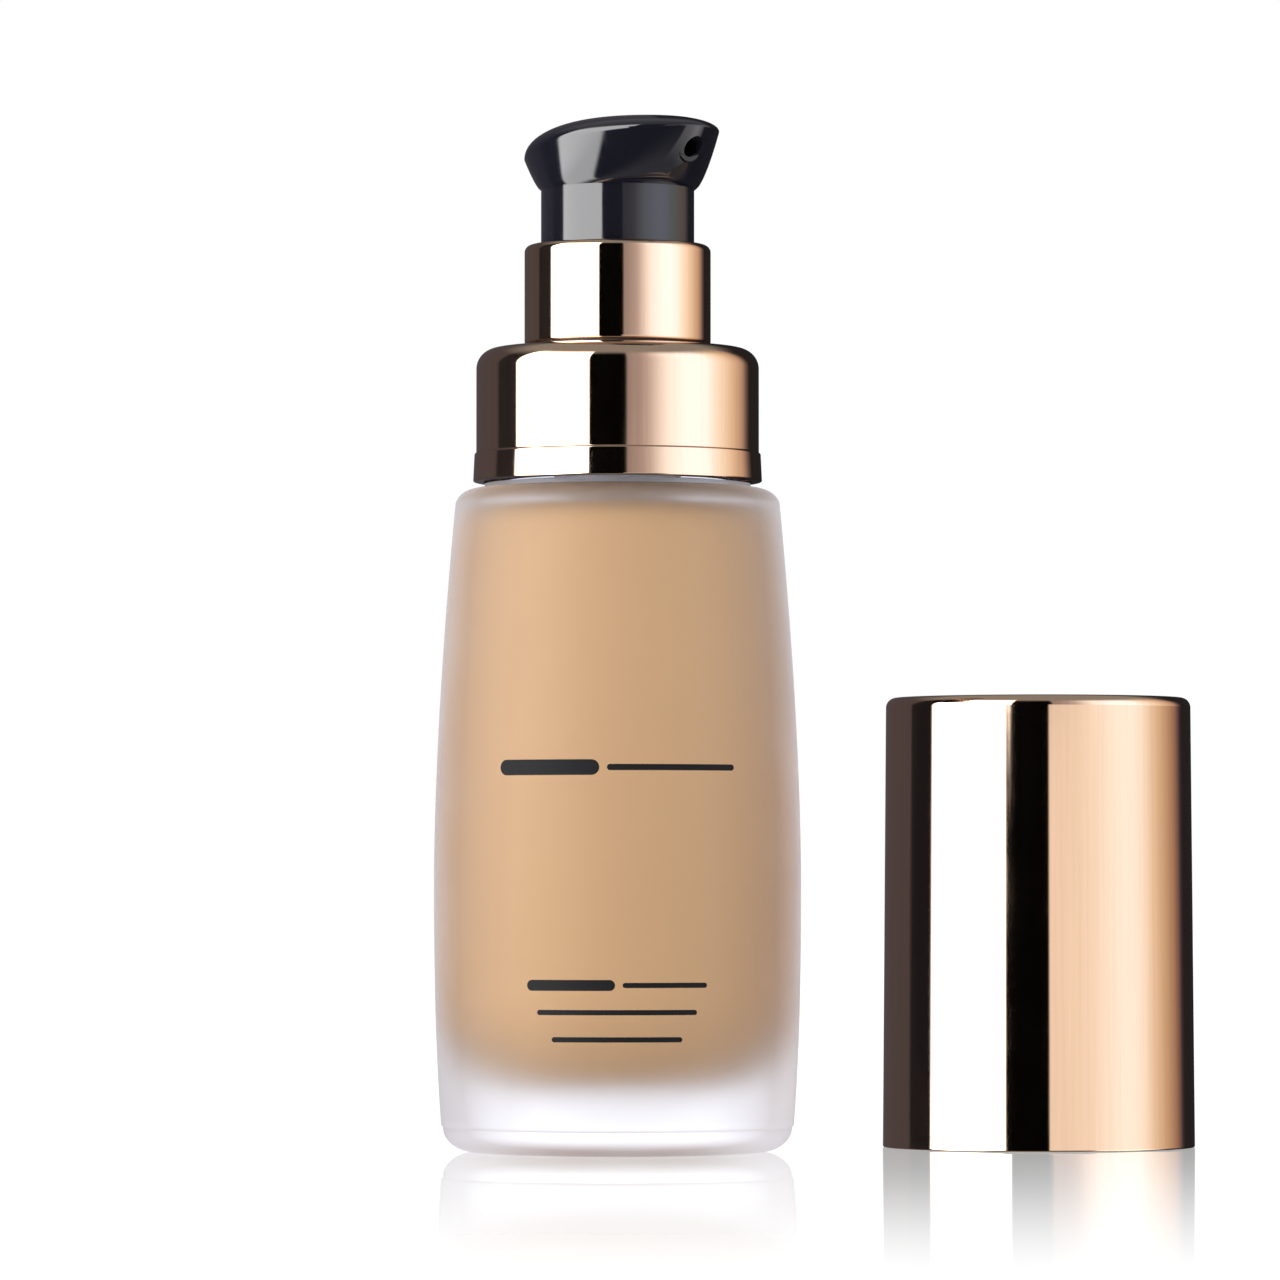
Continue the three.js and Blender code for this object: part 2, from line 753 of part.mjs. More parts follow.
// The crown closes from the rim (spread 1) to the peak (spread 0).
function crownRing(spread) {
  return headRing((angle) => {
    const rim = rimOutline(angle);
    const lift = Math.sqrt(1 - spread ** head.crownPower);
    return new THREE.Vector3(
      THREE.MathUtils.lerp(head.peakForward, rim.x, spread),
      rim.y * spread,
      THREE.MathUtils.lerp(rimHeight(rim.x), crownTop, lift),
    );
  });
}

function actuatorHead() {
  const outside = solid(lofted([
    circleRing(head.skirtRadius - head.skirtChamfer, skirtBottom),
    circleRing(head.skirtRadius, skirtBottom + head.skirtChamfer),
    circleRing(head.skirtRadius, flankBottom),
    ...[0, 0.08, 0.25, 0.5, 0.75, 1].map(flankRing),
    ...[0.98, 0.92, 0.82, 0.67, 0.45, 0.2].map(crownRing),
  ]));
  const cavityRadius = head.skirtRadius - head.skirtWall;
  const hollow = solid(turned([
    at(0, skirtBottom - 1),
    at(cavityRadius, skirtBottom - 1),
    at(cavityRadius, headCavityTop - head.cavityChamfer),
    at(cavityRadius - head.cavityChamfer, headCavityTop),
    at(0, headCavityTop),
  ]));
  const tubeSeat = bar(core.tubeRadius + fit.press, -fit.press, outletSeat, outletHeight);
  const outlet = bar(head.outletRadius, 0, 2 * outletSeat, outletHeight);
  return fromSolid(outside.subtract(hollow).subtract(tubeSeat).subtract(outlet));
}

function outletCore() {
  const top = headCavityTop - fit.face;
  const socketEnd = stemTop + 2 * fit.running;
  const tubeEnd = outletSeat - fit.press;
  const socketRadius = stem.radius + fit.press;
  const outletTube = bar(core.tubeRadius, 0, tubeEnd, outletHeight);
  const body = post(socketRadius + core.wall, coreBottom, top).add(outletTube);
  const socket = post(socketRadius, coreBottom - 1, socketEnd);
  const channel = post(core.channelRadius, socketEnd - 1, outletHeight);
  const tubeBore = bar(core.tubeBoreRadius, 0, tubeEnd + 1, outletHeight);
  return fromSolid(body.subtract(socket).subtract(channel).subtract(tubeBore));
}

// ---------------------------------------------------------------- overcap, on its own axis

function capShell() {
  const { topRound, footRound, sheet, topThickness } = cap;
  const roundStart = capHeight - topRound;
  const innerRound = topRound - sheet;
  return turned([
    at(0, capHeight),
    ...arc(capTopRadius - topRound, roundStart, topRound, topRound, 90, 0, 3),
    ...arc(capMouthRadius - footRound, footRound, footRound, footRound, 0, -90, 2),
    at(capMouthRadius - sheet, 0),
    ...arc(capTopRadius - topRound, capHeight - topThickness - innerRound, innerRound, innerRound, 0, 90, 2),
    at(0, capHeight - topThickness),
  ]);
}

function capLiner() {
  const { linerInset, linerCorner, linerWall, leadIn, beadHeight, beadLand, beadDepth } = cap;
  const outerMouth = linerMouthRadius + linerWall;
  const outerTop = outerMouth - cap.draft;
  const innerTop = outerTop - linerWall;
  const ceiling = linerTopHeight - cap.linerTop;
  return turned([
    at(0, linerTopHeight),
    at(outerTop - linerCorner, linerTopHeight),
    at(outerTop - fit.face, linerTopHeight - linerCorner),
    at(outerMouth - fit.face, linerInset),
    at(linerMouthRadius + leadIn, linerInset),
    at(linerMouthRadius, linerInset + beadLand),
    at(linerMouthRadius, beadHeight - beadLand),
    at(linerMouthRadius - beadDepth, beadHeight),
    at(linerMouthRadius - beadDepth, beadHeight + beadLand),
    at(innerTop, ceiling - linerCorner),
    at(innerTop - linerCorner, ceiling),
    at(0, ceiling),
  ]);
}

// ---------------------------------------------------------------- assembly

const finishes = {
  frostedGlass: { color: 0xe6dfe0, roughness: 0.45, metalness: 0 },
  foundation: { color: 0xc79f7b, roughness: 0.5, metalness: 0 },
  roseGold: { color: 0xe0b08c, roughness: 0.15, metalness: 1 },
  blackPlastic: { color: 0x17171c, roughness: 0.12, metalness: 0 },
  whitePlastic: { color: 0xf1f0ec, roughness: 0.4, metalness: 0 },
  clearPlastic: { color: 0xdfe3e3, roughness: 0.3, metalness: 0 },
  foam: { color: 0xf4f2ea, roughness: 0.9, metalness: 0 },
  steel: { color: 0xb9bcc0, roughness: 0.25, metalness: 1 },
};

function piece(name, geometry, finish) {
  const mesh = new THREE.Mesh(geometry, new THREE.MeshStandardMaterial(finishes[finish]));
  mesh.name = name;
  return mesh;
}

const bottleGroup = new THREE.Group();
bottleGroup.add(
  piece("glass_bottle", glassBottle(), "frostedGlass"),
  piece("foundation_fill", foundationFill(), "foundation"),
);

const ball = piece("inlet_ball", inletBall(), "steel");
const seatSlack = (ballRadius + fit.press) * Math.SQRT2; // the seat is a 45 degree cone
ball.position.z = ballSeatBottom - housing.portRadius + seatSlack;

const pumpGroup = new THREE.Group();
pumpGroup.add(
  piece("pump_housing", pumpHousing(), "whitePlastic"),
  piece("dip_tube", dipTubePiece(), "clearPlastic"),
  piece("return_spring", returnSpring(), "steel"),
  piece("stem_guide", stemGuidePiece(), "whitePlastic"),
  piece("neck_gasket", neckGasket(), "foam"),
  piece("piston", pistonPiece(), "clearPlastic"),
  piece("valve_plug", valvePlugPiece(), "whitePlastic"),
  piece("pump_stem", pumpStem(), "whitePlastic"),
  ball,
);

const closureGroup = new THREE.Group();
closureGroup.add(
  piece("screw_closure", screwClosure(), "whitePlastic"),
  piece("lower_collar", lowerCollarPiece(), "roseGold"),
  piece("upper_collar", upperCollarPiece(), "roseGold"),
);

const actuatorGroup = new THREE.Group();
actuatorGroup.rotation.z = THREE.MathUtils.degToRad(head.azimuth);
actuatorGroup.add(
  piece("actuator_head", actuatorHead(), "blackPlastic"),
  piece("outlet_core", outletCore(), "whitePlastic"),
);

const capGroup = new THREE.Group();
capGroup.position.set(glass.bellyRadius + capMouthRadius + cap.standOff, cap.y, 0);
capGroup.add(piece("cap_shell", capShell(), "roseGold"), piece("cap_liner", capLiner(), "whitePlastic"));

const foundationBottle = new THREE.Group();
foundationBottle.add(bottleGroup, pumpGroup, closureGroup, actuatorGroup, capGroup);

export default foundationBottle;
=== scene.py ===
"""Foundation bottle: the finished look of a frosted glass bottle, its treatment pump and its overcap.

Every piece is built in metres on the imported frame: +Z up, the origin at the centre of the bottle's base.
"""

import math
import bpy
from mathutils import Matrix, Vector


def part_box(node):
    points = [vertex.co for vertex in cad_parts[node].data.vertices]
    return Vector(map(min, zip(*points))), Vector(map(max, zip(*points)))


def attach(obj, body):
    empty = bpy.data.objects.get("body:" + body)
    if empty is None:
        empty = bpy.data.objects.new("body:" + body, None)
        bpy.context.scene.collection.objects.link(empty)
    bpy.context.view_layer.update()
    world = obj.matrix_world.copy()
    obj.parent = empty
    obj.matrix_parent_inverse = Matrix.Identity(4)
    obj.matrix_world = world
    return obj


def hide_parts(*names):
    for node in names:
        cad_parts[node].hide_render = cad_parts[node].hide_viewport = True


bl_info = {
    "name": "Foundation bottle",
    "version": (1, 0, 0),
    "blender": (4, 5, 0),
    "location": "3D View > Sidebar > Foundation bottle",
    "description": "Frosted glass bottle with a treatment pump, rose-gold collars and a lift-off overcap",
    "category": "Object",
}

import bmesh
import bpy
from bpy.props import FloatProperty, PointerProperty, StringProperty

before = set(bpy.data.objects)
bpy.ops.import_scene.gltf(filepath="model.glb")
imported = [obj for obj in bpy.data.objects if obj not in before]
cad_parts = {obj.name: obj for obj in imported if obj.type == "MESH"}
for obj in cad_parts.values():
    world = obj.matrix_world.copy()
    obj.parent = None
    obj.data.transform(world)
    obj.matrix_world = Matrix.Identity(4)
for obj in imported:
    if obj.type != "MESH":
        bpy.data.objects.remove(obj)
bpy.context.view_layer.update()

MM = 0.001
SIDES = 180  # sides of each turned piece
SHARP = math.radians(32)  # edges sharper than this stay crisp


# ------------------------------------------------------------------ sizes read from the frame


def low(node):
    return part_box(node)[0]


def high(node):
    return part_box(node)[1]


def radius_of(node):
    """Half the width of a turned node along X."""
    return (high(node).x - low(node).x) / 2


CAP_CENTRE = ((low("cap_shell") + high("cap_shell")) / 2).xy


# ------------------------------------------------------------------ what a user may change


def length(name, description, default):
    return FloatProperty(
        name=name, description=description, default=default, min=0.0, precision=5,
        subtype="DISTANCE", unit="LENGTH",
    )


def share(name, description, default, top=1.0):
    return FloatProperty(
        name=name, description=description, default=default, min=0.0, max=top, subtype="FACTOR"
    )


def hex_colour(name, description, default):
    return StringProperty(name=name, description=description + ", as an sRGB hex value", default=default)


class BottleSettings(bpy.types.PropertyGroup):
    belly_radius: length("Belly radius", "Radius of the glass at its widest", radius_of("glass_bottle"))
    belly_height: length("Belly height", "Height of the widest point above the table", 27 * MM)
    body_height: length("Body height", "Height of the shoulder above the table", 65 * MM)
    heel_inset: length("Heel inset", "How far the wall draws in down to the heel", 0.72 * MM)
    shoulder_inset: length("Shoulder inset", "How far the wall draws in up to the shoulder", 2.05 * MM)
    wall: length("Wall", "Thickness of the side wall", 3.4 * MM)
    base: length("Base", "Thickness of the heavy base", 6.6 * MM)
    frosting: share("Frosting", "Roughness of the acid-etched outside", 0.57)
    glass: hex_colour("Glass", "Tint of the glass", "#F4F6FF")
    # Painted shade: this darker colour is mixed into the etched glass where it is seen edge-on.
    edge: hex_colour("Glass edge", "Tint of the etched glass seen edge-on", "#B4AEB0")
    shade: hex_colour("Shade", "Shade of the foundation", "#BC9466")


class PrintSettings(bpy.types.PropertyGroup):
    ink: hex_colour("Ink", "Colour of the screen-printed rules", "#141416")
    lift: length("Ink thickness", "How far the ink stands on the glass", 0.03 * MM)
    upper_width: length("Upper width", "Width of the upper row of rules", 24.3 * MM)
    upper_height: length("Upper height", "Height of the upper row above the table", 37.4 * MM)
    lower_width: length("Lower width", "Width of the first of the lower rules", 18.0 * MM)
    lower_height: length("Lower height", "Height of the first of the lower rules", 16.5 * MM)
    line_step: length("Line step", "Distance from one lower rule to the next", 2.6 * MM)


class MetalSettings(bpy.types.PropertyGroup):
    metal: hex_colour("Rose gold", "Colour of the anodised metal", "#EDCEB3")
    polish: share("Polish", "Roughness of the polished metal", 0.045)
    brushing: share("Brushing", "Strength of the drawing lines", 0.35)


class PumpSettings(bpy.types.PropertyGroup):
    gloss: hex_colour("Actuator", "Colour of the actuator's plastic", "#16161E")
    skirt_radius: length("Skirt radius", "Radius of the actuator's skirt", 7.53 * MM)
    flank_height: length("Flank height", "Height at which the skirt flares out", 94.45 * MM)
    outlet_height: length("Outlet height", "Height of the outlet's centre", 97.85 * MM)


class StageSettings(bpy.types.PropertyGroup):
    distance: length("Distance", "Camera's distance from the bottle's axis", 736 * MM)
    camera_height: length("Camera height", "Camera's height above the table", 26.2 * MM)
    camera_shift: length("Camera offset", "Camera's offset to the right of the bottle", 2.2 * MM)
    lens: FloatProperty(name="Lens", description="Focal length in millimetres", default=211.0, min=1.0)
    tilt: FloatProperty(
        name="Tilt", description="Camera's tilt upwards", default=math.radians(1.863),
        subtype="ANGLE", unit="ROTATION",
    )
    key: share("Key", "Radiance of the left softbox", 7.0, 50.0)
    fill: share("Fill", "Strength of the right-hand panels", 1.06, 50.0)
    top: share("Top", "Radiance of the light overhead", 0.3, 50.0)
    wash: share("Wash", "Radiance of the tent on matt surfaces", 1.26, 50.0)
    sheen: share("Table gloss", "How much the table mirrors at the object's foot", 0.62)


class FoundationBottleSettings(bpy.types.PropertyGroup):
    bottle: PointerProperty(type=BottleSettings, name="Bottle", description="Glass and foundation")
    rules: PointerProperty(type=PrintSettings, name="Print", description="Printed rules")
    metal: PointerProperty(type=MetalSettings, name="Metal", description="Collars and overcap")
    pump: PointerProperty(type=PumpSettings, name="Pump", description="Actuator")
    stage: PointerProperty(type=StageSettings, name="Stage", description="Camera, table and light")


# ------------------------------------------------------------------ shape helpers


def arc(centre_r, centre_z, size_r, size_z, start, end, steps):
    """Points of an elliptical arc in a turned profile, with angles in degrees from the outward direction."""
    points = []
    for k in range(steps + 1):
        angle = math.radians(start + (end - start) * k / steps)
        points.append((centre_r + size_r * math.cos(angle), centre_z + size_z * math.sin(angle)))
    return points


def mix(a, b, t):
    return a + (b - a) * t


def skin(bm, rings, close=False, index=lambda k: 0):
    """Joins rings of vertices; a ring of one vertex is a pole. index gives each band's material."""
    sides = max(len(ring) for ring in rings)
    pairs = list(zip(rings, rings[1:] + rings[:1])) if close else list(zip(rings, rings[1:]))
    for k, (first, second) in enumerate(pairs):
        for j in range(sides):
            corners = (
                first[j % len(first)],
                first[(j + 1) % len(first)],
                second[(j + 1) % len(second)],
                second[j % len(second)],
            )
            face = bm.faces.new(dict.fromkeys(corners))
            face.smooth = True
            face.material_index = index(k)


def braced(profile, index):
    """Adds points close to the ends of each long straight run, so that shading stays flat along it."""
    long_run, brace = 0.7 * MM, 0.03 * MM
    points, materials = [], []
    for k, (here, after) in enumerate(zip(profile, profile[1:] + profile[:1])):
        run = math.dist(here, after)
        shares = [0.0]
        if run >= long_run and k < len(profile) - 1:
            shares += [brace / run, 1 - brace / run]
        for t in shares:
            points.append((mix(here[0], after[0], t), mix(here[1], after[1], t)))
            materials.append(index(k))
    return points, materials.__getitem__


def turned(profile, centre=(0.0, 0.0), index=lambda k: 0, sides=SIDES):
    """A turned solid. Its profile of (radius, height) closes on itself unless both its ends meet the axis."""
    bm = bmesh.new()
    rings = []
    profile, index = braced(profile, index)
    for radius, height in profile:
        count = sides if radius > 0 else 1
        ring = []
        for j in range(count):
            angle = 2 * math.pi * j / sides
            place = (centre[0] + radius * math.cos(angle), centre[1] + radius * math.sin(angle), height)
            ring.append(bm.verts.new(place))
        rings.append(ring)
    skin(bm, rings, close=profile[0][0] > 0 or profile[-1][0] > 0, index=index)
    return bm


def object_from(bm, name, materials):
    bmesh.ops.recalc_face_normals(bm, faces=bm.faces)
    mesh = bpy.data.meshes.new(name)
    bm.to_mesh(mesh)
    bm.free()
    for material in materials:
        mesh.materials.append(material)
    mesh.set_sharp_from_angle(angle=SHARP)
    piece = bpy.data.objects.new(name, mesh)
    bpy.context.scene.collection.objects.link(piece)
    return piece


def combined(piece, other, operation):
    """Joins other to piece, or cuts it out, and removes other."""
    modifier = piece.modifiers.new(operation.title(), "BOOLEAN")
    modifier.operation = operation
    modifier.solver = "EXACT"
    modifier.object = other
    graph = bpy.context.evaluated_depsgraph_get()
    mesh = bpy.data.meshes.new_from_object(piece.evaluated_get(graph))
    piece.modifiers.clear()
    piece.data = mesh
    mesh.set_sharp_from_angle(angle=SHARP)
    bpy.data.objects.remove(other)
    return piece


def keep(piece, body, stands_for=()):
    """Puts a finished piece on its body and hides the nodes that it stands for."""
    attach(piece, body)
    if stands_for:
        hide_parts(*stands_for)


def coat_node(node, material):
    """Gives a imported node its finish."""
    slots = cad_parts[node].data.materials
    slots.clear()
    slots.append(material)


# ------------------------------------------------------------------ material helpers


def linear(hex_value):
    """A linear colour from an sRGB hex value."""
    parts = [int(hex_value[k : k + 2], 16) / 255 for k in (1, 3, 5)]
    return tuple(c / 12.92 if c <= 0.04045 else ((c + 0.055) / 1.055) ** 2.4 for c in parts) + (1.0,)


def add(tree, kind, settings=None, values=None, links=None):
    """Adds a node with its settings, its input values and what feeds its inputs: an output, or a node for its
    first one."""
    node = tree.nodes.new(kind)
    for key, value in (settings or {}).items():
        setattr(node, key, value)
    for key, value in (values or {}).items():
        node.inputs[key].default_value = value
    for key, source in (links or {}).items():
        output = source if isinstance(source, bpy.types.NodeSocket) else source.outputs[0]
        tree.links.new(output, node.inputs[key])
    return node


def empty_material(name):
    """A material, its emptied node tree and, in that tree, the object's own coordinates."""
    material = bpy.data.materials.new(name)
    material.use_nodes = True
    tree = material.node_tree
    tree.nodes.clear()
    return material, tree, add(tree, "ShaderNodeTexCoord").outputs["Object"]


def shades(hex_value, darker, lighter):
    """A mix's two colours: one colour a little darker and a little lighter."""
    base = linear(hex_value)[:3]
    return {6: (*[c * darker for c in base], 1), 7: (*[min(1, c * lighter) for c in base], 1)}


def see_through(tree, body, tint):
    """Ends a material that two kinds of ray pass unbent: light on its contents, and a blurred mirror's."""
    path = add(tree, "ShaderNodeLightPath")
    light = add(
        tree, "ShaderNodeMath", {"operation": "MAXIMUM"}, {},
        {0: path.outputs["Is Shadow Ray"], 1: path.outputs["Is Diffuse Ray"]},
    )
    blurred = add(
        tree, "ShaderNodeMath", {"operation": "SUBTRACT", "use_clamp": True}, {},
        {0: path.outputs["Is Glossy Ray"], 1: path.outputs["Is Singular Ray"]},
    )
    either = add(tree, "ShaderNodeMath", {"operation": "MAXIMUM"}, {}, {0: light, 1: blurred})
    through = add(tree, "ShaderNodeBsdfTransparent", {}, {"Color": linear(tint)})
    both = add(tree, "ShaderNodeMixShader", {}, {}, {0: either, 1: body, 2: through})
    add(tree, "ShaderNodeOutputMaterial", {}, {}, {"Surface": both})


def surface(tree, values, links, height, strength, depth, invert=False, through=None):
    """Ends a material with its surface, raised by a pattern's height to a depth in metres."""
    bump = add(
        tree, "ShaderNodeBump", {"invert": invert}, {"Strength": strength, "Distance": depth},
        {"Height": height},
    )
    body = add(tree, "ShaderNodeBsdfPrincipled", {}, values, {**links, "Normal": bump})
    if through:
        see_through(tree, body, through)
    else:
        add(tree, "ShaderNodeOutputMaterial", {}, {}, {"Surface": body})


# Soda-lime glass, blown in a mould and etched in acid. The etched skin scatters what lies behind it, so the
# foundation's edge is soft, and it has a satin bloom where light grazes it.
def etched_glass(settings):
    material, tree, place = empty_material("soda_lime_glass_acid_etched")
    # The pits are about 0.02 mm across. They are drawn 0.22 mm across, as coarse as they need to show.
    pits = add(
        tree, "ShaderNodeTexNoise", {}, {"Scale": 1 / (0.22 * MM), "Detail": 2.0, "Roughness": 0.6},
        {"Vector": place},
    )
    clouds = add(tree, "ShaderNodeTexNoise", {}, {"Scale": 1 / (9 * MM), "Detail": 3.0}, {"Vector": place})
    frosting, spread = settings.frosting, 0.03
    rough = add(
        tree, "ShaderNodeMapRange", {},
        {"From Min": 0.3, "From Max": 0.7, "To Min": frosting - spread, "To Max": frosting + spread},
        {"Value": clouds},
    )
    # Painted shade: where the skin is seen edge-on its colour is mixed towards the darker edge colour,
    # standing in for the pits shading one another.
    edge = add(tree, "ShaderNodeLayerWeight", {}, {"Blend": 0.5}).outputs["Facing"]
    shading = add(tree, "ShaderNodeMapRange", {}, {"From Min": 0.12, "From Max": 0.5}, {"Value": edge})
    tint = add(
        tree, "ShaderNodeMix", {"data_type": "RGBA"},
        {6: linear(settings.glass), 7: linear(settings.edge)}, {0: shading},
    )
    surface(
        tree, {"Transmission Weight": 1.0, "IOR": 1.52, "Specular IOR Level": 0.28},
        {"Base Color": tint.outputs[2], "Roughness": rough},
        height=pits, strength=0.12, depth=0.02 * MM, through="#F4F4F8",
    )
    return material


# The same glass where the mould's blow left it bright: the inside of the bottle and the neck's finish.
def bright_glass(settings):
    material, tree, place = empty_material("soda_lime_glass_fire_polished")
    ripple = add(tree, "ShaderNodeTexNoise", {}, {"Scale": 1 / (6 * MM), "Detail": 1.0}, {"Vector": place})
    surface(
        tree,
        {"Base Color": linear(settings.glass), "Transmission Weight": 1.0, "IOR": 1.52, "Roughness": 0.05},
        {}, height=ripple, strength=0.25, depth=0.05 * MM, through="#F8F8FB",
    )
    return material


# Pigment milled into a water and silicone emulsion. It is opaque and even, with faint drifts of pigment where
# it has stood. It wets the glass, so it has next to no gloss of its own.
def foundation_emulsion(settings):
    material, tree, place = empty_material("foundation_emulsion_milled")
    drift = add(
        tree, "ShaderNodeTexNoise", {}, {"Scale": 1 / (14 * MM), "Detail": 4.0, "Distortion": 0.6},
        {"Vector": place},
    )
    pigment = add(
        tree, "ShaderNodeMix", {"data_type": "RGBA"}, shades(settings.shade, 0.975, 1.02), {0: drift}
    )
    film = add(tree, "ShaderNodeTexNoise", {}, {"Scale": 1 / (2.5 * MM), "Detail": 2.0}, {"Vector": place})
    surface(
        tree, {"Roughness": 0.5, "IOR": 1.42, "Specular IOR Level": 0.08}, {"Base Color": pigment.outputs[2]},
        height=film, strength=0.2, depth=0.03 * MM,
    )
    return material


# Aluminium, deep-drawn into a thin sheet part, polished and anodised rose gold. It mirrors its surroundings,
# and the punch leaves faint lines along the draw that blur the mirror sideways.
def drawn_rose_gold(settings, centre=(0.0, 0.0), name="aluminium_drawn_anodised_rose_gold"):
    material, tree, place = empty_material(name)
    centred = add(tree, "ShaderNodeVectorMath", {"operation": "SUBTRACT"}, {1: (*centre, 0.0)}, {0: place})
    # The lines are under 0.1 mm apart and run the whole height. They are drawn 0.4 mm apart, so they show.
    stretched = add(
        tree, "ShaderNodeVectorMath", {"operation": "MULTIPLY"}, {1: (1.0, 1.0, 0.012)}, {0: centred}
    )
    lines = add(
        tree, "ShaderNodeTexNoise", {}, {"Scale": 1 / (0.4 * MM), "Detail": 4.0, "Roughness": 0.65},
        {"Vector": stretched},
    )
    handling = add(
        tree, "ShaderNodeTexNoise", {}, {"Scale": 1 / (7 * MM), "Detail": 5.0, "Roughness": 0.7},
        {"Vector": place},
    )
    wear = add(tree, "ShaderNodeMath", {"operation": "MULTIPLY"}, {}, {0: lines, 1: handling})
    polish = settings.polish
    rough = add(
        tree, "ShaderNodeMapRange", {},
        {"From Min": 0.12, "From Max": 0.42, "To Min": polish * 0.75, "To Max": polish * 1.5},
        {"Value": wear},
    )
    tint = add(tree, "ShaderNodeMix", {"data_type": "RGBA"}, shades(settings.metal, 0.88, 1.08), {0: lines})
    surface(
        tree, {"Metallic": 1.0}, {"Base Color": tint.outputs[2], "Roughness": rough},
        height=lines, strength=settings.brushing * 0.3, depth=0.004 * MM,
    )
    return material


# ABS, moulded in a mirror-polished tool. It is a deep blue-black with a wet gloss, a trace of orange peel
# and fine hairlines from handling.
def polished_abs(settings):
    material, tree, place = empty_material("abs_moulded_high_gloss")
    peel = add(tree, "ShaderNodeTexNoise", {}, {"Scale": 1 / (1.6 * MM), "Detail": 1.0}, {"Vector": place})
    wiped = add(tree, "ShaderNodeVectorMath", {"operation": "MULTIPLY"}, {1: (1.0, 0.25, 0.06)}, {0: place})
    hairlines = add(
        tree, "ShaderNodeTexNoise", {}, {"Scale": 1 / (0.35 * MM), "Detail": 3.0, "Roughness": 0.7},
        {"Vector": wiped},
    )
    rough = add(
        tree, "ShaderNodeMapRange", {}, {"From Min": 0.35, "From Max": 0.75, "To Min": 0.05, "To Max": 0.13},
        {"Value": hairlines},
    )
    coat = {"Coat Weight": 0.25, "Coat Roughness": 0.03, "Coat IOR": 1.5}
    surface(
        tree, {"Base Color": linear(settings.gloss), "IOR": 1.54, **coat}, {"Roughness": rough},
        height=peel, strength=0.12, depth=0.01 * MM,
    )
    return material


# Polypropylene, injection moulded. It is waxy and even, with the tool's spark-eroded grain and a cloudy
# thickness to its colour.
def moulded_polypropylene(name, colour, grain=0.12 * MM, roughness=0.42):
    material, tree, place = empty_material(name)
    erosion = add(
        tree, "ShaderNodeTexVoronoi", {}, {"Scale": 1 / grain, "Randomness": 1.0}, {"Vector": place}
    )
    flow = add(tree, "ShaderNodeTexNoise", {}, {"Scale": 1 / (3 * MM), "Detail": 3.0}, {"Vector": place})
    tint = add(tree, "ShaderNodeMix", {"data_type": "RGBA"}, shades(colour, 0.93, 1.04), {0: flow})
    rough = add(
        tree, "ShaderNodeMapRange", {}, {"To Min": roughness - 0.06, "To Max": roughness + 0.08},
        {"Value": flow},
    )
    surface(
        tree, {"IOR": 1.49}, {"Base Color": tint.outputs[2], "Roughness": rough},
        height=erosion, strength=0.2, depth=0.01 * MM,
    )
    return material


# Polyethylene, extruded as a thin tube. It is milky and faintly ribbed along its length by the die.
def extruded_polyethylene():
    material, tree, place = empty_material("polyethylene_extruded_natural")
    along = add(tree, "ShaderNodeVectorMath", {"operation": "MULTIPLY"}, {1: (1.0, 1.0, 0.02)}, {0: place})
    lines = add(tree, "ShaderNodeTexNoise", {}, {"Scale": 1 / (0.15 * MM), "Detail": 2.0}, {"Vector": along})
    rough = add(tree, "ShaderNodeMapRange", {}, {"To Min": 0.24, "To Max": 0.4}, {"Value": lines})
    surface(
        tree, {"Base Color": linear("#E4E8E8"), "IOR": 1.51, "Transmission Weight": 0.35},
        {"Roughness": rough}, height=lines, strength=0.25, depth=0.008 * MM,
    )
    return material


# Stainless steel, drawn into wire for the spring and lapped for the ball. It is bright, with a fine satin
# grain that varies its gloss.
def drawn_stainless():
    material, tree, place = empty_material("stainless_steel_drawn_and_lapped")
    grain = add(tree, "ShaderNodeTexNoise", {}, {"Scale": 1 / (0.08 * MM), "Detail": 3.0}, {"Vector": place})
    rough = add(tree, "ShaderNodeMapRange", {}, {"To Min": 0.16, "To Max": 0.34}, {"Value": grain})
    surface(
        tree, {"Base Color": linear("#BDBFC3"), "Metallic": 1.0}, {"Roughness": rough},
        height=grain, strength=0.15, depth=0.004 * MM,
    )
    return material


# Polyethylene foam, die-cut from a sheet. Its cells of about 0.2 mm give it a fine, dry, open grain, with
# painted shade in each cell's hollow.
def cut_foam():
    material, tree, place = empty_material("polyethylene_foam_die_cut")
    cells = add(
        tree, "ShaderNodeTexVoronoi", {"feature": "DISTANCE_TO_EDGE"}, {"Scale": 1 / (0.2 * MM)},
        {"Vector": place},
    )
    walls = add(tree, "ShaderNodeMapRange", {}, {"From Min": 0.0, "From Max": 0.25}, {"Value": cells})
    # Painted shade: the cells' hollows, sunk by the inverted bump, are drawn darker than their walls.
    tint = add(
        tree, "ShaderNodeMix", {"data_type": "RGBA"}, {6: linear("#FBF8F0"), 7: linear("#DED9CC")}, {0: walls}
    )
    surface(
        tree, {"Roughness": 0.9, "IOR": 1.45}, {"Base Color": tint.outputs[2]},
        height=walls, strength=0.6, depth=0.05 * MM, invert=True,
    )
    return material


# Ceramic ink, screen-printed and baked on. The mesh leaves a fine weave in its satin black film.
def printed_ink(settings):
    material, tree, place = empty_material("ceramic_ink_screen_printed")
    weave = add(tree, "ShaderNodeTexNoise", {}, {"Scale": 1 / (0.12 * MM), "Detail": 2.0}, {"Vector": place})
    rough = add(tree, "ShaderNodeMapRange", {}, {"To Min": 0.55, "To Max": 0.75}, {"Value": weave})
    surface(
        tree, {"Base Color": linear(settings.ink), "IOR": 1.5, "Specular IOR Level": 0.15},
        {"Roughness": rough}, height=weave, strength=0.2, depth=0.006 * MM, through="#FFFFFF",
    )
    return material


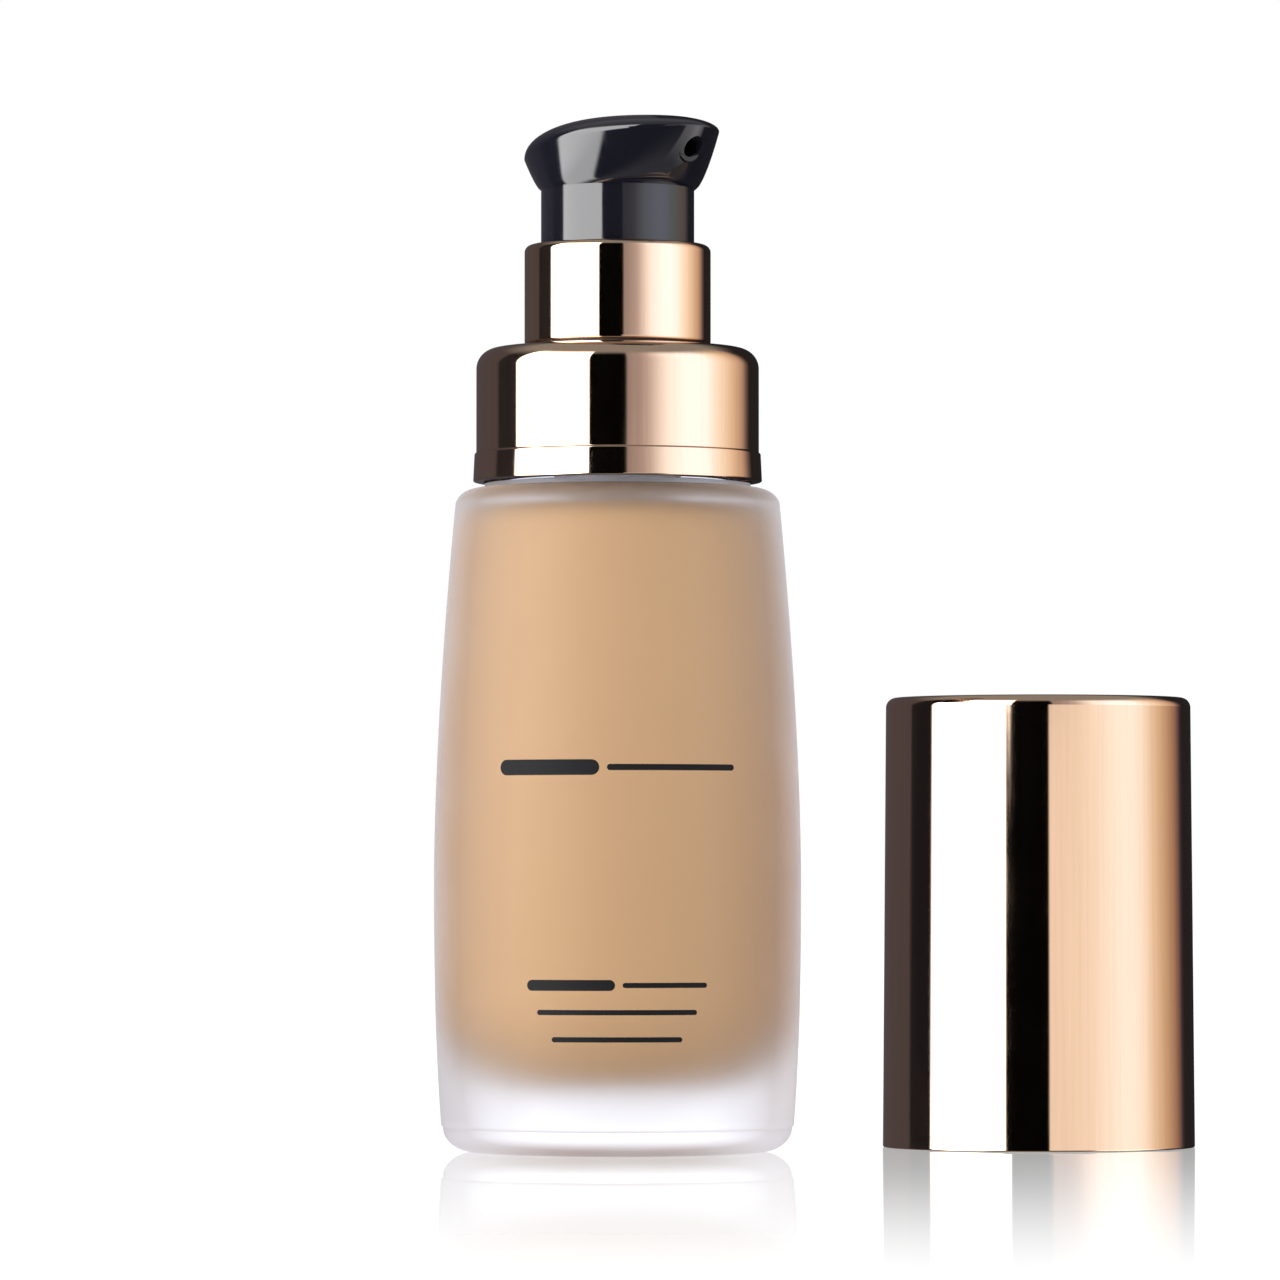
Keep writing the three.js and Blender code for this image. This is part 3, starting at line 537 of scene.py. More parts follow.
# Acrylic sheet, cast white and polished. It is even and bright, and mirrors what stands on it near its foot.
def polished_acrylic(settings):
    material, tree, place = empty_material("acrylic_sheet_cast_polished")
    gaps = []
    for centre, radius in (((0.0, 0.0), 16 * MM), (CAP_CENTRE, 15 * MM)):
        offset = add(
            tree, "ShaderNodeVectorMath", {"operation": "DISTANCE"}, {1: (*centre, 0.0)}, {0: place}
        )
        gap = add(
            tree, "ShaderNodeMath", {"operation": "SUBTRACT"}, {1: radius}, {0: offset.outputs["Value"]}
        )
        gaps.append(gap)
    nearest = add(tree, "ShaderNodeMath", {"operation": "MINIMUM"}, {}, dict(enumerate(gaps)))
    fade = add(
        tree, "ShaderNodeMapRange", {"interpolation_type": "SMOOTHSTEP"},
        {"From Min": -10 * MM, "From Max": 275 * MM, "To Min": settings.sheen, "To Max": 0.0},
        {"Value": nearest},
    )
    glow = add(tree, "ShaderNodeEmission", {}, {"Color": (1, 1, 1, 1), "Strength": 0.94})
    matt = add(tree, "ShaderNodeBsdfDiffuse", {}, {"Color": (0.1, 0.1, 0.1, 1)})
    lit = add(tree, "ShaderNodeAddShader", {}, {}, {0: glow, 1: matt})
    mirror = add(tree, "ShaderNodeBsdfGlossy", {}, {"Color": (1, 1, 1, 1), "Roughness": 0.0})
    both = add(tree, "ShaderNodeMixShader", {}, {}, {0: fade, 1: lit, 2: mirror})
    add(tree, "ShaderNodeOutputMaterial", {}, {}, {"Surface": both})
    return material


# ------------------------------------------------------------------ bottle


HEEL = 2.65 * MM  # height at which the heel's round meets the wall
SHOULDER_DROP = 1.8 * MM  # height of the shoulder's round
SHOULDER_REACH = 2.35 * MM  # width of the shoulder's round
SHOULDER_WALL = 1.4 * MM  # glass over the cavity
NECK_ROOT = 10.8 * MM  # neck's radius between the turns of its thread


def barrel_radius(settings, height):
    """The glass's outer radius between its heel and its shoulder."""
    heel_power, shoulder_power = 2.6, 1.67
    shoulder = settings.body_height - SHOULDER_DROP
    if height < settings.belly_height:
        reach = (settings.belly_height - height) / (settings.belly_height - HEEL)
        return settings.belly_radius - settings.heel_inset * reach**heel_power
    reach = (height - settings.belly_height) / (shoulder - settings.belly_height)
    return settings.belly_radius - settings.shoulder_inset * reach**shoulder_power


def barrel(settings, start, end, steps, inset=0.0):
    heights = [mix(start, end, k / steps) for k in range(steps + 1)]
    return [(barrel_radius(settings, z) - inset, z) for z in heights]


def cavity(settings, gap, top):
    """The inside of the bottle from the axis at its floor up to a height, drawn in by a gap."""
    floor_round, ceiling_round = 9 * MM, 3.8 * MM
    ceiling = settings.body_height - SHOULDER_WALL
    floor_z, ceiling_z = settings.base + floor_round, ceiling - ceiling_round
    floor_r = barrel_radius(settings, floor_z) - settings.wall - floor_round
    ceiling_r = barrel_radius(settings, ceiling_z) - settings.wall - ceiling_round
    size = ceiling_round - gap
    end = math.degrees(math.asin(min(1.0, (top - ceiling_z) / size)))
    points = [(0.0, settings.base + gap)]
    points += arc(floor_r, floor_z, floor_round - gap, floor_round - gap, -90, 0, 20)
    points += barrel(settings, floor_z, ceiling_z, 40, settings.wall + gap)[1:-1]
    return points + arc(ceiling_r, ceiling_z, size, size, 0, end, 12)


def bottle_profile(settings):
    """The bottle's outside up to its lip and its inside down to the floor, and how many bands are etched."""
    push_up, ring_width, ring_slope, ring_round = 0.5 * MM, 2.2 * MM, 2.9 * MM, 0.2 * MM
    seam, heel_round, seam_step = 2.4 * MM, 3.2 * MM, 0.18 * MM
    rest = barrel_radius(settings, HEEL) - seam_step - heel_round
    top, lip = settings.body_height, high("glass_bottle").z
    shoulder, bead = top - SHOULDER_DROP, top + 0.45 * MM
    shoulder_r = barrel_radius(settings, shoulder) - SHOULDER_REACH
    bead_r, fillet, bore, flare, lip_round = 13.05 * MM, 0.3 * MM, 7.4 * MM, 1.2 * MM, 0.45 * MM
    outside = [(0.0, push_up), (rest - ring_slope, push_up)]
    outside += arc(rest - ring_width, ring_round, ring_round, ring_round, 180, 270, 4)
    outside += arc(rest, seam, heel_round, seam, -90, 0, 20)
    outside += barrel(settings, HEEL, shoulder, 90)
    outside += arc(shoulder_r, shoulder, SHOULDER_REACH, SHOULDER_DROP, 0, 90, 16)[1:]
    outside += [(bead_r, top), (bead_r, bead), (NECK_ROOT + fillet, bead)]
    etched = len(outside)
    outside += arc(NECK_ROOT + fillet, bead + fillet, fillet, fillet, 270, 180, 4)[1:]
    outside += arc(NECK_ROOT - lip_round, lip - lip_round, lip_round, lip_round, 0, 90, 6)
    outside += arc(bore + lip_round, lip - lip_round, lip_round, lip_round, 90, 180, 6)
    mouth = [(bore, top), (bore + flare, top - SHOULDER_WALL)]
    inside = cavity(settings, 0.0, top - SHOULDER_WALL)
    return outside + mouth + inside[::-1], etched


def thread_ridge(settings):
    """The neck's thread: a single-start ridge of 1.6 turns that fades into the wall at both ends."""
    pitch, turns, start = 3.175 * MM, 1.6, settings.body_height + 3.6 * MM
    foot, crest, proud = 10.55 * MM, 11.9 * MM, 0.02 * MM
    foot_half, flank_half, crest_half, flank_rise = 0.85 * MM, 0.33 * MM, 0.2 * MM, 0.85
    stations, run_out = 120, 0.12
    bm = bmesh.new()
    rings = []
    for k in range(stations + 1):
        along = k / stations
        fade = min(1.0, along / run_out, (1 - along) / run_out)
        fade = fade * fade * (3 - 2 * fade)
        top = mix(NECK_ROOT + proud, crest, fade)
        flank = mix(NECK_ROOT, top, flank_rise)
        centre = start + pitch * turns * along
        angle = 2 * math.pi * turns * along
        section = [(foot, -foot_half), (flank, -flank_half), (top, -crest_half)]
        section += [(radius, -offset) for radius, offset in reversed(section)]
        ring = [(r * math.cos(angle), r * math.sin(angle), centre + offset) for r, offset in section]
        rings.append([bm.verts.new(place) for place in ring])
    skin(bm, rings)
    bm.faces.new(rings[0])
    bm.faces.new(rings[-1])
    return bm


class FOUNDATION_OT_bottle(bpy.types.Operator):
    """Builds the frosted glass bottle with its threaded neck"""

    bl_idname = "foundation.bottle"
    bl_label = "Glass bottle"

    def execute(self, context):
        settings = context.scene.foundation_bottle.bottle
        profile, etched = bottle_profile(settings)
        materials = [etched_glass(settings), bright_glass(settings)]
        bm = turned(profile, index=lambda k: 0 if k < etched else 1)
        bottle = object_from(bm, "blown_bottle", materials)
        ridge = object_from(thread_ridge(settings), "neck_thread", [materials[1]])
        bottle = combined(bottle, ridge, "UNION")
        keep(bottle, "bottle", ["glass_bottle"])
        return {"FINISHED"}


class FOUNDATION_OT_contents(bpy.types.Operator):
    """Fills the bottle with liquid foundation, round the pump's housing and dip tube"""

    bl_idname = "foundation.contents"
    bl_label = "Foundation"

    def execute(self, context):
        settings = context.scene.foundation_bottle.bottle
        top = high("foundation_fill").z
        housing, tube, clearance, wetting = 4.4 * MM, 1.8 * MM, 0.3 * MM, 0.02 * MM
        shelf = low("pump_housing").z - clearance
        foot = low("dip_tube").z - clearance
        points = cavity(settings, -wetting, top)
        points += [(housing, top), (housing, shelf), (tube, shelf), (tube, foot), (0.0, foot)]
        liquid = object_from(turned(points), "liquid_foundation", [foundation_emulsion(settings)])
        liquid.visible_glossy = False
        keep(liquid, "bottle", ["foundation_fill"])
        return {"FINISHED"}


def printed_rule(settings, rules, left, width, middle, thickness):
    """A rounded bar of ink on the front of the glass, from left along +X, with its middle at a height."""
    end, thinnest, stand_off = thickness / 2, 0.02 * MM, 0.004 * MM
    columns = [left + end * (1 - math.cos(math.pi * k / 12)) for k in range(7)]
    columns += [mix(left + end, left + width - end, k / 24) for k in range(1, 25)]
    columns += [left + width - end * (1 - math.sin(math.pi * k / 12)) for k in range(1, 7)]
    bm = bmesh.new()
    outline = []
    for x in columns:
        inset = max(0.0, left + end - x, x - (left + width - end))
        half = math.sqrt(max(end * end - inset * inset, thinnest**2))
        outline.append((x, half))
    skins = []
    for lift in (0.0, rules.lift):
        rows = []
        for x, half in outline:
            row = []
            for step in (-1.0, -0.5, 0.0, 0.5, 1.0):
                height = middle + half * step
                radius = barrel_radius(settings, height) + lift + stand_off
                angle = x / radius
                row.append(bm.verts.new((radius * math.sin(angle), -radius * math.cos(angle), height)))
            rows.append(row)
        skins.append(rows)
    for rows in skins:
        for first, second in zip(rows, rows[1:]):
            for j in range(4):
                bm.faces.new((first[j], first[j + 1], second[j + 1], second[j])).smooth = True
    inner, outer = skins
    rim_in = [row[0] for row in inner] + [row[-1] for row in reversed(inner)]
    rim_out = [row[0] for row in outer] + [row[-1] for row in reversed(outer)]
    count = len(rim_in)
    for j in range(count):
        k = (j + 1) % count
        if rim_in[j] is inner[-1][0] or rim_in[j] is inner[0][-1]:
            at_end = rim_in[j] is inner[-1][0]
            rows = (inner[-1], outer[-1]) if at_end else (inner[0][::-1], outer[0][::-1])
            for i in range(4):
                bm.faces.new((rows[0][i], rows[0][i + 1], rows[1][i + 1], rows[1][i]))
        else:
            bm.faces.new((rim_in[j], rim_in[k], rim_out[k], rim_out[j]))
    return bm


class FOUNDATION_OT_print(bpy.types.Operator):
    """Prints plain rules on the front of the glass"""

    bl_idname = "foundation.print"
    bl_label = "Printed rules"

    def execute(self, context):
        settings = context.scene.foundation_bottle
        bottle, rules = settings.bottle, settings.rules
        ink = printed_ink(rules)
        upper, lower = rules.upper_width, rules.lower_width
        # Name, left end, width, middle height and thickness of each rule.
        rows = [
            ("upper_bold", -upper / 2, upper * 0.43, rules.upper_height, 1.5 * MM),
            ("upper_light", -upper / 2 + upper * 0.46, upper * 0.54, rules.upper_height, 0.6 * MM),
            ("lower_bold", -lower / 2, lower * 0.49, rules.lower_height, 1.05 * MM),
            ("lower_light", -lower / 2 + lower * 0.53, lower * 0.47, rules.lower_height, 0.5 * MM),
            ("second_line", -lower * 0.44, lower * 0.88, rules.lower_height - rules.line_step, 0.5 * MM),
            ("third_line", -lower * 0.355, lower * 0.71, rules.lower_height - 2 * rules.line_step, 0.5 * MM),
        ]
        for name, left, width, middle, thickness in rows:
            bm = printed_rule(bottle, rules, left, width, middle, thickness)
            keep(object_from(bm, "rule_" + name, [ink]), "bottle")
        return {"FINISHED"}


# ------------------------------------------------------------------ pump, closure and collars


class FOUNDATION_OT_pump(bpy.types.Operator):
    """Finishes the moulded, extruded, drawn and die-cut pieces of the pump engine"""

    bl_idname = "foundation.pump"
    bl_label = "Pump engine"

    def execute(self, context):
        white = moulded_polypropylene("polypropylene_moulded_natural", "#F0EFEA")
        piston = moulded_polypropylene("polyethylene_moulded_piston", "#E9EBE8", 0.2 * MM, 0.5)
        closure = moulded_polypropylene("polypropylene_moulded_brown", "#352B28", 0.15 * MM, 0.45)
        core = moulded_polypropylene("polypropylene_moulded_black", "#0E0E11", 0.12 * MM, 0.35)
        steel = drawn_stainless()
        finishes = {
            "pump_housing": white,
            "stem_guide": white,
            "pump_stem": white,
            "valve_plug": white,
            "piston": piston,
            "dip_tube": extruded_polyethylene(),
            "neck_gasket": cut_foam(),
            "inlet_ball": steel,
            "return_spring": steel,
            "screw_closure": closure,
            "outlet_core": core,
        }
        for node, material in finishes.items():
            coat_node(node, material)
        for node in ("pump_housing", "dip_tube", "inlet_ball", "return_spring", "valve_plug", "piston"):
            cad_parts[node].visible_glossy = False
        return {"FINISHED"}


def lower_collar_profile():
    sheet, top_round, edge, nick = 0.4 * MM, 2 * MM, 0.15 * MM, 0.1 * MM
    inner, bottom, top = 13.48 * MM, low("lower_collar").z, high("lower_collar").z
    outer, foot = inner + sheet, radius_of("lower_collar")
    band, band_top, turned_in, groove = foot - 0.12 * MM, bottom + 2.8 * MM, 0.32 * MM, 0.12 * MM
    hole, curl = 8.75 * MM, 0.12 * MM
    points = [(inner - turned_in, bottom)]
    points += arc(foot - edge, bottom + edge, edge, edge, -90, 0, 8)
    points += arc(band - edge, band_top - edge, edge, edge, 0, 75, 8)
    points += arc(outer + nick, band_top + groove, nick, groove, 270, 180, 4)
    points += arc(outer - top_round, top - top_round, top_round, top_round, 0, 90, 18)
    points += arc(hole + curl, top - curl, curl, curl, 90, 180, 4)
    points += [(hole, top - sheet)]
    inside = top_round - sheet
    points += arc(outer - top_round, top - top_round, inside, inside, 90, 0, 12)
    return points + [(inner, bottom + sheet), (inner - turned_in, bottom + sheet)]


def upper_collar_profile():
    sheet, top_round, foot_round = 0.47 * MM, 0.7 * MM, 0.25 * MM
    outer, bottom, top = radius_of("upper_collar"), low("upper_collar").z, high("upper_collar").z
    lip, curl = 7.95 * MM, 0.16 * MM
    points = [(outer - sheet, bottom)]
    points += arc(outer - foot_round, bottom + foot_round, foot_round, foot_round, -90, 0, 8)
    points += arc(outer - top_round, top - top_round, top_round, top_round, 0, 90, 14)
    points += arc(lip + curl, top - curl, curl, curl, 90, 180, 5)
    return points + [(lip, top - sheet), (outer - sheet, top - sheet)]


class FOUNDATION_OT_collars(bpy.types.Operator):
    """Builds the two drawn metal collars over the closure"""

    bl_idname = "foundation.collars"
    bl_label = "Collars"

    def execute(self, context):
        metal = drawn_rose_gold(context.scene.foundation_bottle.metal)
        lower = object_from(turned(lower_collar_profile()), "drawn_lower_collar", [metal])
        keep(lower, "closure", ["lower_collar"])
        upper = object_from(turned(upper_collar_profile()), "drawn_upper_collar", [metal])
        keep(upper, "closure", ["upper_collar"])
        return {"FINISHED"}


# ------------------------------------------------------------------ actuator

OUTLET_AZIMUTH = math.radians(-49)
RIM_WAVES = (9.76, 1.02, 1.33, 0.35)  # mm: the rim's mean radius, then its offset, oval and beak
CROWN_SHIFT = 2 * MM  # how far the crown's peak lies towards the outlet


def rim_outline(angle):
    """The rim's outline by the angle of its outward normal, as (along the outlet, across it)."""
    reach = sum(size * math.cos(k * angle) for k, size in enumerate(RIM_WAVES))
    slope = -sum(k * size * math.sin(k * angle) for k, size in enumerate(RIM_WAVES))
    return (
        (reach * math.cos(angle) - slope * math.sin(angle)) * MM,
        (reach * math.sin(angle) + slope * math.cos(angle)) * MM,
    )


def rim_height(settings, along):
    """The rim's height, which sags in a shallow curve away from the outlet."""
    rise, sag, tip = 5.3, 0.0061, 12
    return settings.flank_height + (rise - sag * (tip - along / MM) ** 2) * MM


def actuator_rings(settings):
    """Rings of points from the cavity's ceiling down inside the skirt, up its outside and over the crown."""
    wall, depth, lip, chamfer, bevel = 0.8 * MM, 3.95 * MM, 0.15 * MM, 1.3 * MM, 0.1 * MM
    bottom, inner = low("actuator_head").z, settings.skirt_radius - wall
    crown, cavity_top = high("actuator_head").z, settings.flank_height + depth
    back_flare, beak_flare, crown_power = 0.8, 0.62, 2.2
    flank_steps, crown_steps = 20, 28
    angles = [2 * math.pi * j / SIDES for j in range(SIDES)]
    circles = [(inner - chamfer, cavity_top), (inner, cavity_top - chamfer), (inner, bottom + bevel)]
    circles += [(inner + bevel, bottom)]
    circles += arc(settings.skirt_radius - lip, bottom + lip, lip, lip, -90, 0, 6)
    heights = [mix(bottom + lip, settings.flank_height, k / 10) for k in range(1, 11)]
    circles += [(settings.skirt_radius, height) for height in heights]
    rings = [[(0.0, 0.0, cavity_top)]]
    rings += [[(r * math.cos(a), r * math.sin(a), z) for a in angles] for r, z in circles]
    foot = settings.skirt_radius + 0.12 * MM
    for k in range(flank_steps + 1):
        rise = k / flank_steps
        ring = []
        for a in angles:
            x, y = rim_outline(a)
            flare = rise ** mix(beak_flare, back_flare, (1 - math.cos(a)) / 2)
            height = mix(settings.flank_height, rim_height(settings, x), rise)
            ring.append((mix(foot * math.cos(a), x, flare), mix(foot * math.sin(a), y, flare), height))
        rings.append(ring)
    for k in range(1, crown_steps + 1):
        spread = math.cos(math.pi / 2 * k / crown_steps)
        lift = math.sqrt(max(0.0, 1 - spread**crown_power))
        ring = []
        for a in angles:
            x, y = rim_outline(a)
            height = mix(rim_height(settings, x), crown, lift)
            ring.append((mix(CROWN_SHIFT, x, spread), y * spread, height))
        rings.append(ring)
    rings[-1] = [(CROWN_SHIFT, 0.0, crown)]
    return rings


def bar_along_outlet(sections, height, sides=48):
    """A round cutter along the outlet, from sections of (distance from the axis, radius)."""
    bm = bmesh.new()
    rings = [[bm.verts.new((sections[0][0], 0.0, height))]]
    for x, radius in sections:
        angles = [2 * math.pi * j / sides for j in range(sides)]
        ring = [(x, radius * math.cos(a), height + radius * math.sin(a)) for a in angles]
        rings.append([bm.verts.new(place) for place in ring])
    rings.append([bm.verts.new((sections[-1][0], 0.0, height))])
    skin(bm, rings)
    return bm


class FOUNDATION_OT_actuator(bpy.types.Operator):
    """Builds the press-down head with its beak and outlet"""

    bl_idname = "foundation.actuator"
    bl_label = "Actuator"

    def execute(self, context):
        settings = context.scene.foundation_bottle.pump
        gloss = polished_abs(settings)
        bm = bmesh.new()
        rings = [[bm.verts.new(point) for point in ring] for ring in actuator_rings(settings)]
        skin(bm, rings)
        head = object_from(bm, "moulded_actuator", [gloss])
        seat, orifice, start, step, end = 1.45 * MM, 1.0 * MM, -0.05 * MM, 10.7 * MM, 16 * MM
        sections = [(start, seat), (step, seat), (step, orifice), (end, orifice)]
        cutter = bar_along_outlet(sections, settings.outlet_height)
        head = combined(head, object_from(cutter, "outlet_cutter", [gloss]), "DIFFERENCE")
        head.rotation_euler.z = OUTLET_AZIMUTH
        keep(head, "actuator", ["actuator_head"])
        return {"FINISHED"}


# ------------------------------------------------------------------ overcap


def cap_sheet_profile():
    mouth, top = radius_of("cap_shell"), high("cap_shell").z
    draft, top_round, foot_round, sheet, crown = 0.35 * MM, 1 * MM, 0.15 * MM, 0.5 * MM, 0.6 * MM
    narrow = mouth - draft
    inner_round = top_round - sheet
    points = [(0.0, top)]
    points += arc(narrow - top_round, top - top_round, top_round, top_round, 90, 0, 16)
    shares = [k / 20 for k in range(1, 20)]
    points += [(mix(narrow, mouth, t), mix(top - top_round, foot_round, t)) for t in shares]
    points += arc(mouth - foot_round, foot_round, foot_round, foot_round, 0, -90, 6)
    points += [(mouth - sheet, 0.0)]
    points += arc(narrow - top_round, top - crown - inner_round, inner_round, inner_round, 0, 90, 6)
    return points + [(0.0, top - crown)]


def cap_lining_profile():
    outer = radius_of("cap_liner")
    bottom, top = low("cap_liner").z, high("cap_liner").z
    wall, draft, corner, lead_in, crown, bead = 0.7 * MM, 0.35 * MM, 1 * MM, 0.3 * MM, 0.9 * MM, 0.05 * MM
    bead_foot, bead_low, bead_high = 2.1 * MM, 2.6 * MM, 3.1 * MM
    mouth, narrow, ceiling = outer - wall, outer - wall - draft, top - crown
    points = [(0.0, top), (outer - draft - corner, top), (outer - draft, top - corner), (outer, bottom)]
    points += arc(mouth + lead_in, bottom + lead_in, lead_in, lead_in, 270, 180, 6)
    points += [(mouth, bead_foot), (mouth - bead, bead_low), (mouth - bead, bead_high)]
    shares = [k / 12 for k in range(1, 12)]
    points += [(mix(mouth - bead, narrow, t), mix(bead_high, ceiling - corner, t)) for t in shares]
    points += arc(narrow - corner, ceiling - corner, corner, corner, 0, 90, 8)
    return points + [(0.0, ceiling)]


class FOUNDATION_OT_cap(bpy.types.Operator):
    """Builds the overcap's metal sheet and its moulded lining"""

    bl_idname = "foundation.cap"
    bl_label = "Overcap"

    def execute(self, context):
        settings = context.scene.foundation_bottle.metal
        metal = drawn_rose_gold(settings, CAP_CENTRE, "aluminium_drawn_anodised_overcap")
        sheet = object_from(turned(cap_sheet_profile(), CAP_CENTRE), "drawn_overcap", [metal])
        keep(sheet, "cap", ["cap_shell"])
        plastic = moulded_polypropylene("polypropylene_moulded_lining", "#E6E4DE", 0.18 * MM, 0.4)
        lining = object_from(turned(cap_lining_profile(), CAP_CENTRE), "moulded_cap_lining", [plastic])
        keep(lining, "cap", ["cap_liner"])
        return {"FINISHED"}


# ------------------------------------------------------------------ stage


RAMP_TOP = 10.0  # radiance that a ramp's full white stands for


def studio_world(settings):
    """A white tent with a softbox on each side and a dark flag between, as the polished pieces see it."""
    world = bpy.data.worlds.new("studio_tent")
    world.use_nodes = True
    tree = world.node_tree
    tree.nodes.clear()
    bpy.context.scene.world = world
    place = add(tree, "ShaderNodeTexCoord")
    axis = add(tree, "ShaderNodeSeparateXYZ", {}, {}, {"Vector": place.outputs["Generated"]})
    towards = add(tree, "ShaderNodeMath", {"operation": "MULTIPLY"}, {1: -1.0}, {0: axis.outputs["Y"]})
    turn = add(tree, "ShaderNodeMath", {"operation": "ARCTAN2"}, {}, {0: axis.outputs["X"], 1: towards})
    around = add(
        tree, "ShaderNodeMapRange", {},
        {"From Min": -math.pi, "From Max": math.pi, "To Min": 0.0, "To Max": 1.0}, {"Value": turn},
    )
    # Stops round the tent: degrees from the camera's side, radiance red, green, blue. The right-hand light is
    # two panels, an even one at the overcap's level and a brighter one above it that fades towards the flag.
    key, fill = settings.key, settings.fill
    dim, dark, flag = (0.085, 0.075, 0.085), (0.02, 0.019, 0.022), (0.001,) * 3
    rear = [(-180, dim), (-116, dim), (-112, dark), (-91, dark)]
    left = rear + [(-88, (key,) * 3), (-24, (key,) * 3), (-22.6, flag)]
    left_level = rear + [(-88, (key,) * 3), (-28.6, (key,) * 3), (-27.6, flag)]
    level = [
        (4.4, flag), (5.2, (0.99, 0.92, 0.86)), (18, (1, 0.93, 0.86)), (27, (1.04, 0.98, 0.91)),
        (35, (1.06, 1, 0.96)), (43, (1.11, 1.09, 1.07)), (52, (1.15, 1.21, 1.24)), (64, (1.2, 1.3, 1.38)),
        (73, (1.18, 1.28, 1.36)), (82, (1.13, 1.15, 1.16)), (93, (0.92, 0.79, 0.66)),
        (105, (0.69, 0.53, 0.38)), (120, (0.39, 0.24, 0.18)), (131, (0.05, 0.04, 0.06)),
    ]
    above = [
        (6.8, flag), (7.8, (0.34, 0.3, 0.3)), (19, (0.46, 0.4, 0.42)), (26, (0.62, 0.56, 0.58)),
        (34, (0.98, 0.97, 1.02)), (42, (1.25, 1.32, 1.44)), (57, (1.5, 1.55, 1.8)), (67, (1.55, 1.58, 1.84)),
        (78, (1.4, 1.5, 1.72)), (86, (1.2, 1.23, 1.24)), (97, (1.06, 0.97, 0.86)), (108, (0.85, 0.69, 0.54)),
        (121, (0.55, 0.4, 0.32)), (130, (0.15, 0.11, 0.1)),
    ]
    # Below the actuator's flare the flag is wider, and a small panel lights the beak.
    under = rear + [(-88, (key * 0.8,) * 3), (-50, (key * 0.8,) * 3), (-47, flag)]
    beak = [(40, flag), (44, (1.6, 1.5, 1.5)), (80, (2.4, 2.3, 2.3)), (100, (1.2, 1.1, 1.1)), (112, dark)]
    sides = []
    for start, panel in ((left_level, level), (left, above), (under, beak)):
        stops = start + [(turned_by, [fill * part for part in colour]) for turned_by, colour in panel]
        stops += [(136, dark), (180, dark)]
        ramp = add(tree, "ShaderNodeValToRGB", {}, {}, {"Fac": around})
        elements = ramp.color_ramp.elements
        while len(elements) < len(stops):
            elements.new(0.5)
        for element, (degrees, colour) in zip(elements, stops):
            element.position = (degrees + 180) / 360
            element.color = (*[c / RAMP_TOP for c in colour], 1.0)
        sides.append(ramp.outputs["Color"])
    lift = add(tree, "ShaderNodeMath", {"operation": "ARCSINE"}, {}, {0: axis.outputs["Z"]})
    # Elevations in degrees between which the panels give way to the roof, the floor and one another.
    blends = {}
    for part, start, end in (("roof", 30, 55), ("floor", -35, -60), ("above", 2.2, 3.0), ("under", -6, -14)):
        blends[part] = add(
            tree, "ShaderNodeMapRange", {"interpolation_type": "SMOOTHSTEP"},
            {"From Min": math.radians(start), "From Max": math.radians(end)}, {"Value": lift},
        )
    panels = add(
        tree, "ShaderNodeMix", {"data_type": "RGBA"}, {}, {0: blends["above"], 6: sides[0], 7: sides[1]}
    )
    panels = add(
        tree, "ShaderNodeMix", {"data_type": "RGBA"}, {},
        {0: blends["under"], 6: panels.outputs[2], 7: sides[2]},
    )
    walls = add(
        tree, "ShaderNodeVectorMath", {"operation": "SCALE"}, {"Scale": RAMP_TOP}, {0: panels.outputs[2]}
    )
    roofed = add(
        tree, "ShaderNodeMix", {"data_type": "RGBA"}, {7: (settings.top,) * 3 + (1,)},
        {0: blends["roof"], 6: walls},
    )
    floored = add(
        tree, "ShaderNodeMix", {"data_type": "RGBA"}, {7: (0.3, 0.3, 0.3, 1)},
        {0: blends["floor"], 6: roofed.outputs[2]},
    )
    tent = add(tree, "ShaderNodeBackground", {}, {"Strength": 1.0}, {"Color": floored.outputs[2]})
    paper = add(tree, "ShaderNodeBackground", {}, {"Color": (1, 1, 1, 1), "Strength": 1.0})
    path = add(tree, "ShaderNodeLightPath")
    plain = add(
        tree, "ShaderNodeMath", {"operation": "MAXIMUM"}, {},
        {0: path.outputs["Is Camera Ray"], 1: path.outputs["Is Singular Ray"]},
    )
    # Light that comes through the frosted glass is brightest from straight behind and falls off to the sides.
    behind = add(
        tree, "ShaderNodeMapRange", {}, {"From Min": 0.6, "From Max": 0.98, "To Min": 0.15, "To Max": 1.6},
        {"Value": axis.outputs["Y"]},
    )
    glow = add(tree, "ShaderNodeBackground", {}, {"Color": (1, 1, 1, 1)}, {"Strength": behind})
    # Matt surfaces see an even tent that is over twice as bright on the key's side.
    wash = add(
        tree, "ShaderNodeMapRange", {},
        {"From Min": -0.9, "From Max": -0.1, "To Min": settings.wash * 2.3, "To Max": settings.wash},
        {"Value": axis.outputs["X"]},
    )
    even = add(tree, "ShaderNodeBackground", {}, {"Color": (1, 1, 1, 1)}, {"Strength": wash})
    lit = add(tree, "ShaderNodeMixShader", {}, {}, {0: path.outputs["Is Glossy Ray"], 1: even, 2: tent})
    glazed = add(
        tree, "ShaderNodeMixShader", {}, {}, {0: path.outputs["Is Transmission Ray"], 1: lit, 2: glow}
    )
    both = add(tree, "ShaderNodeMixShader", {}, {}, {0: plain, 1: glazed, 2: paper})
    add(tree, "ShaderNodeOutputWorld", {}, {}, {"Surface": both})


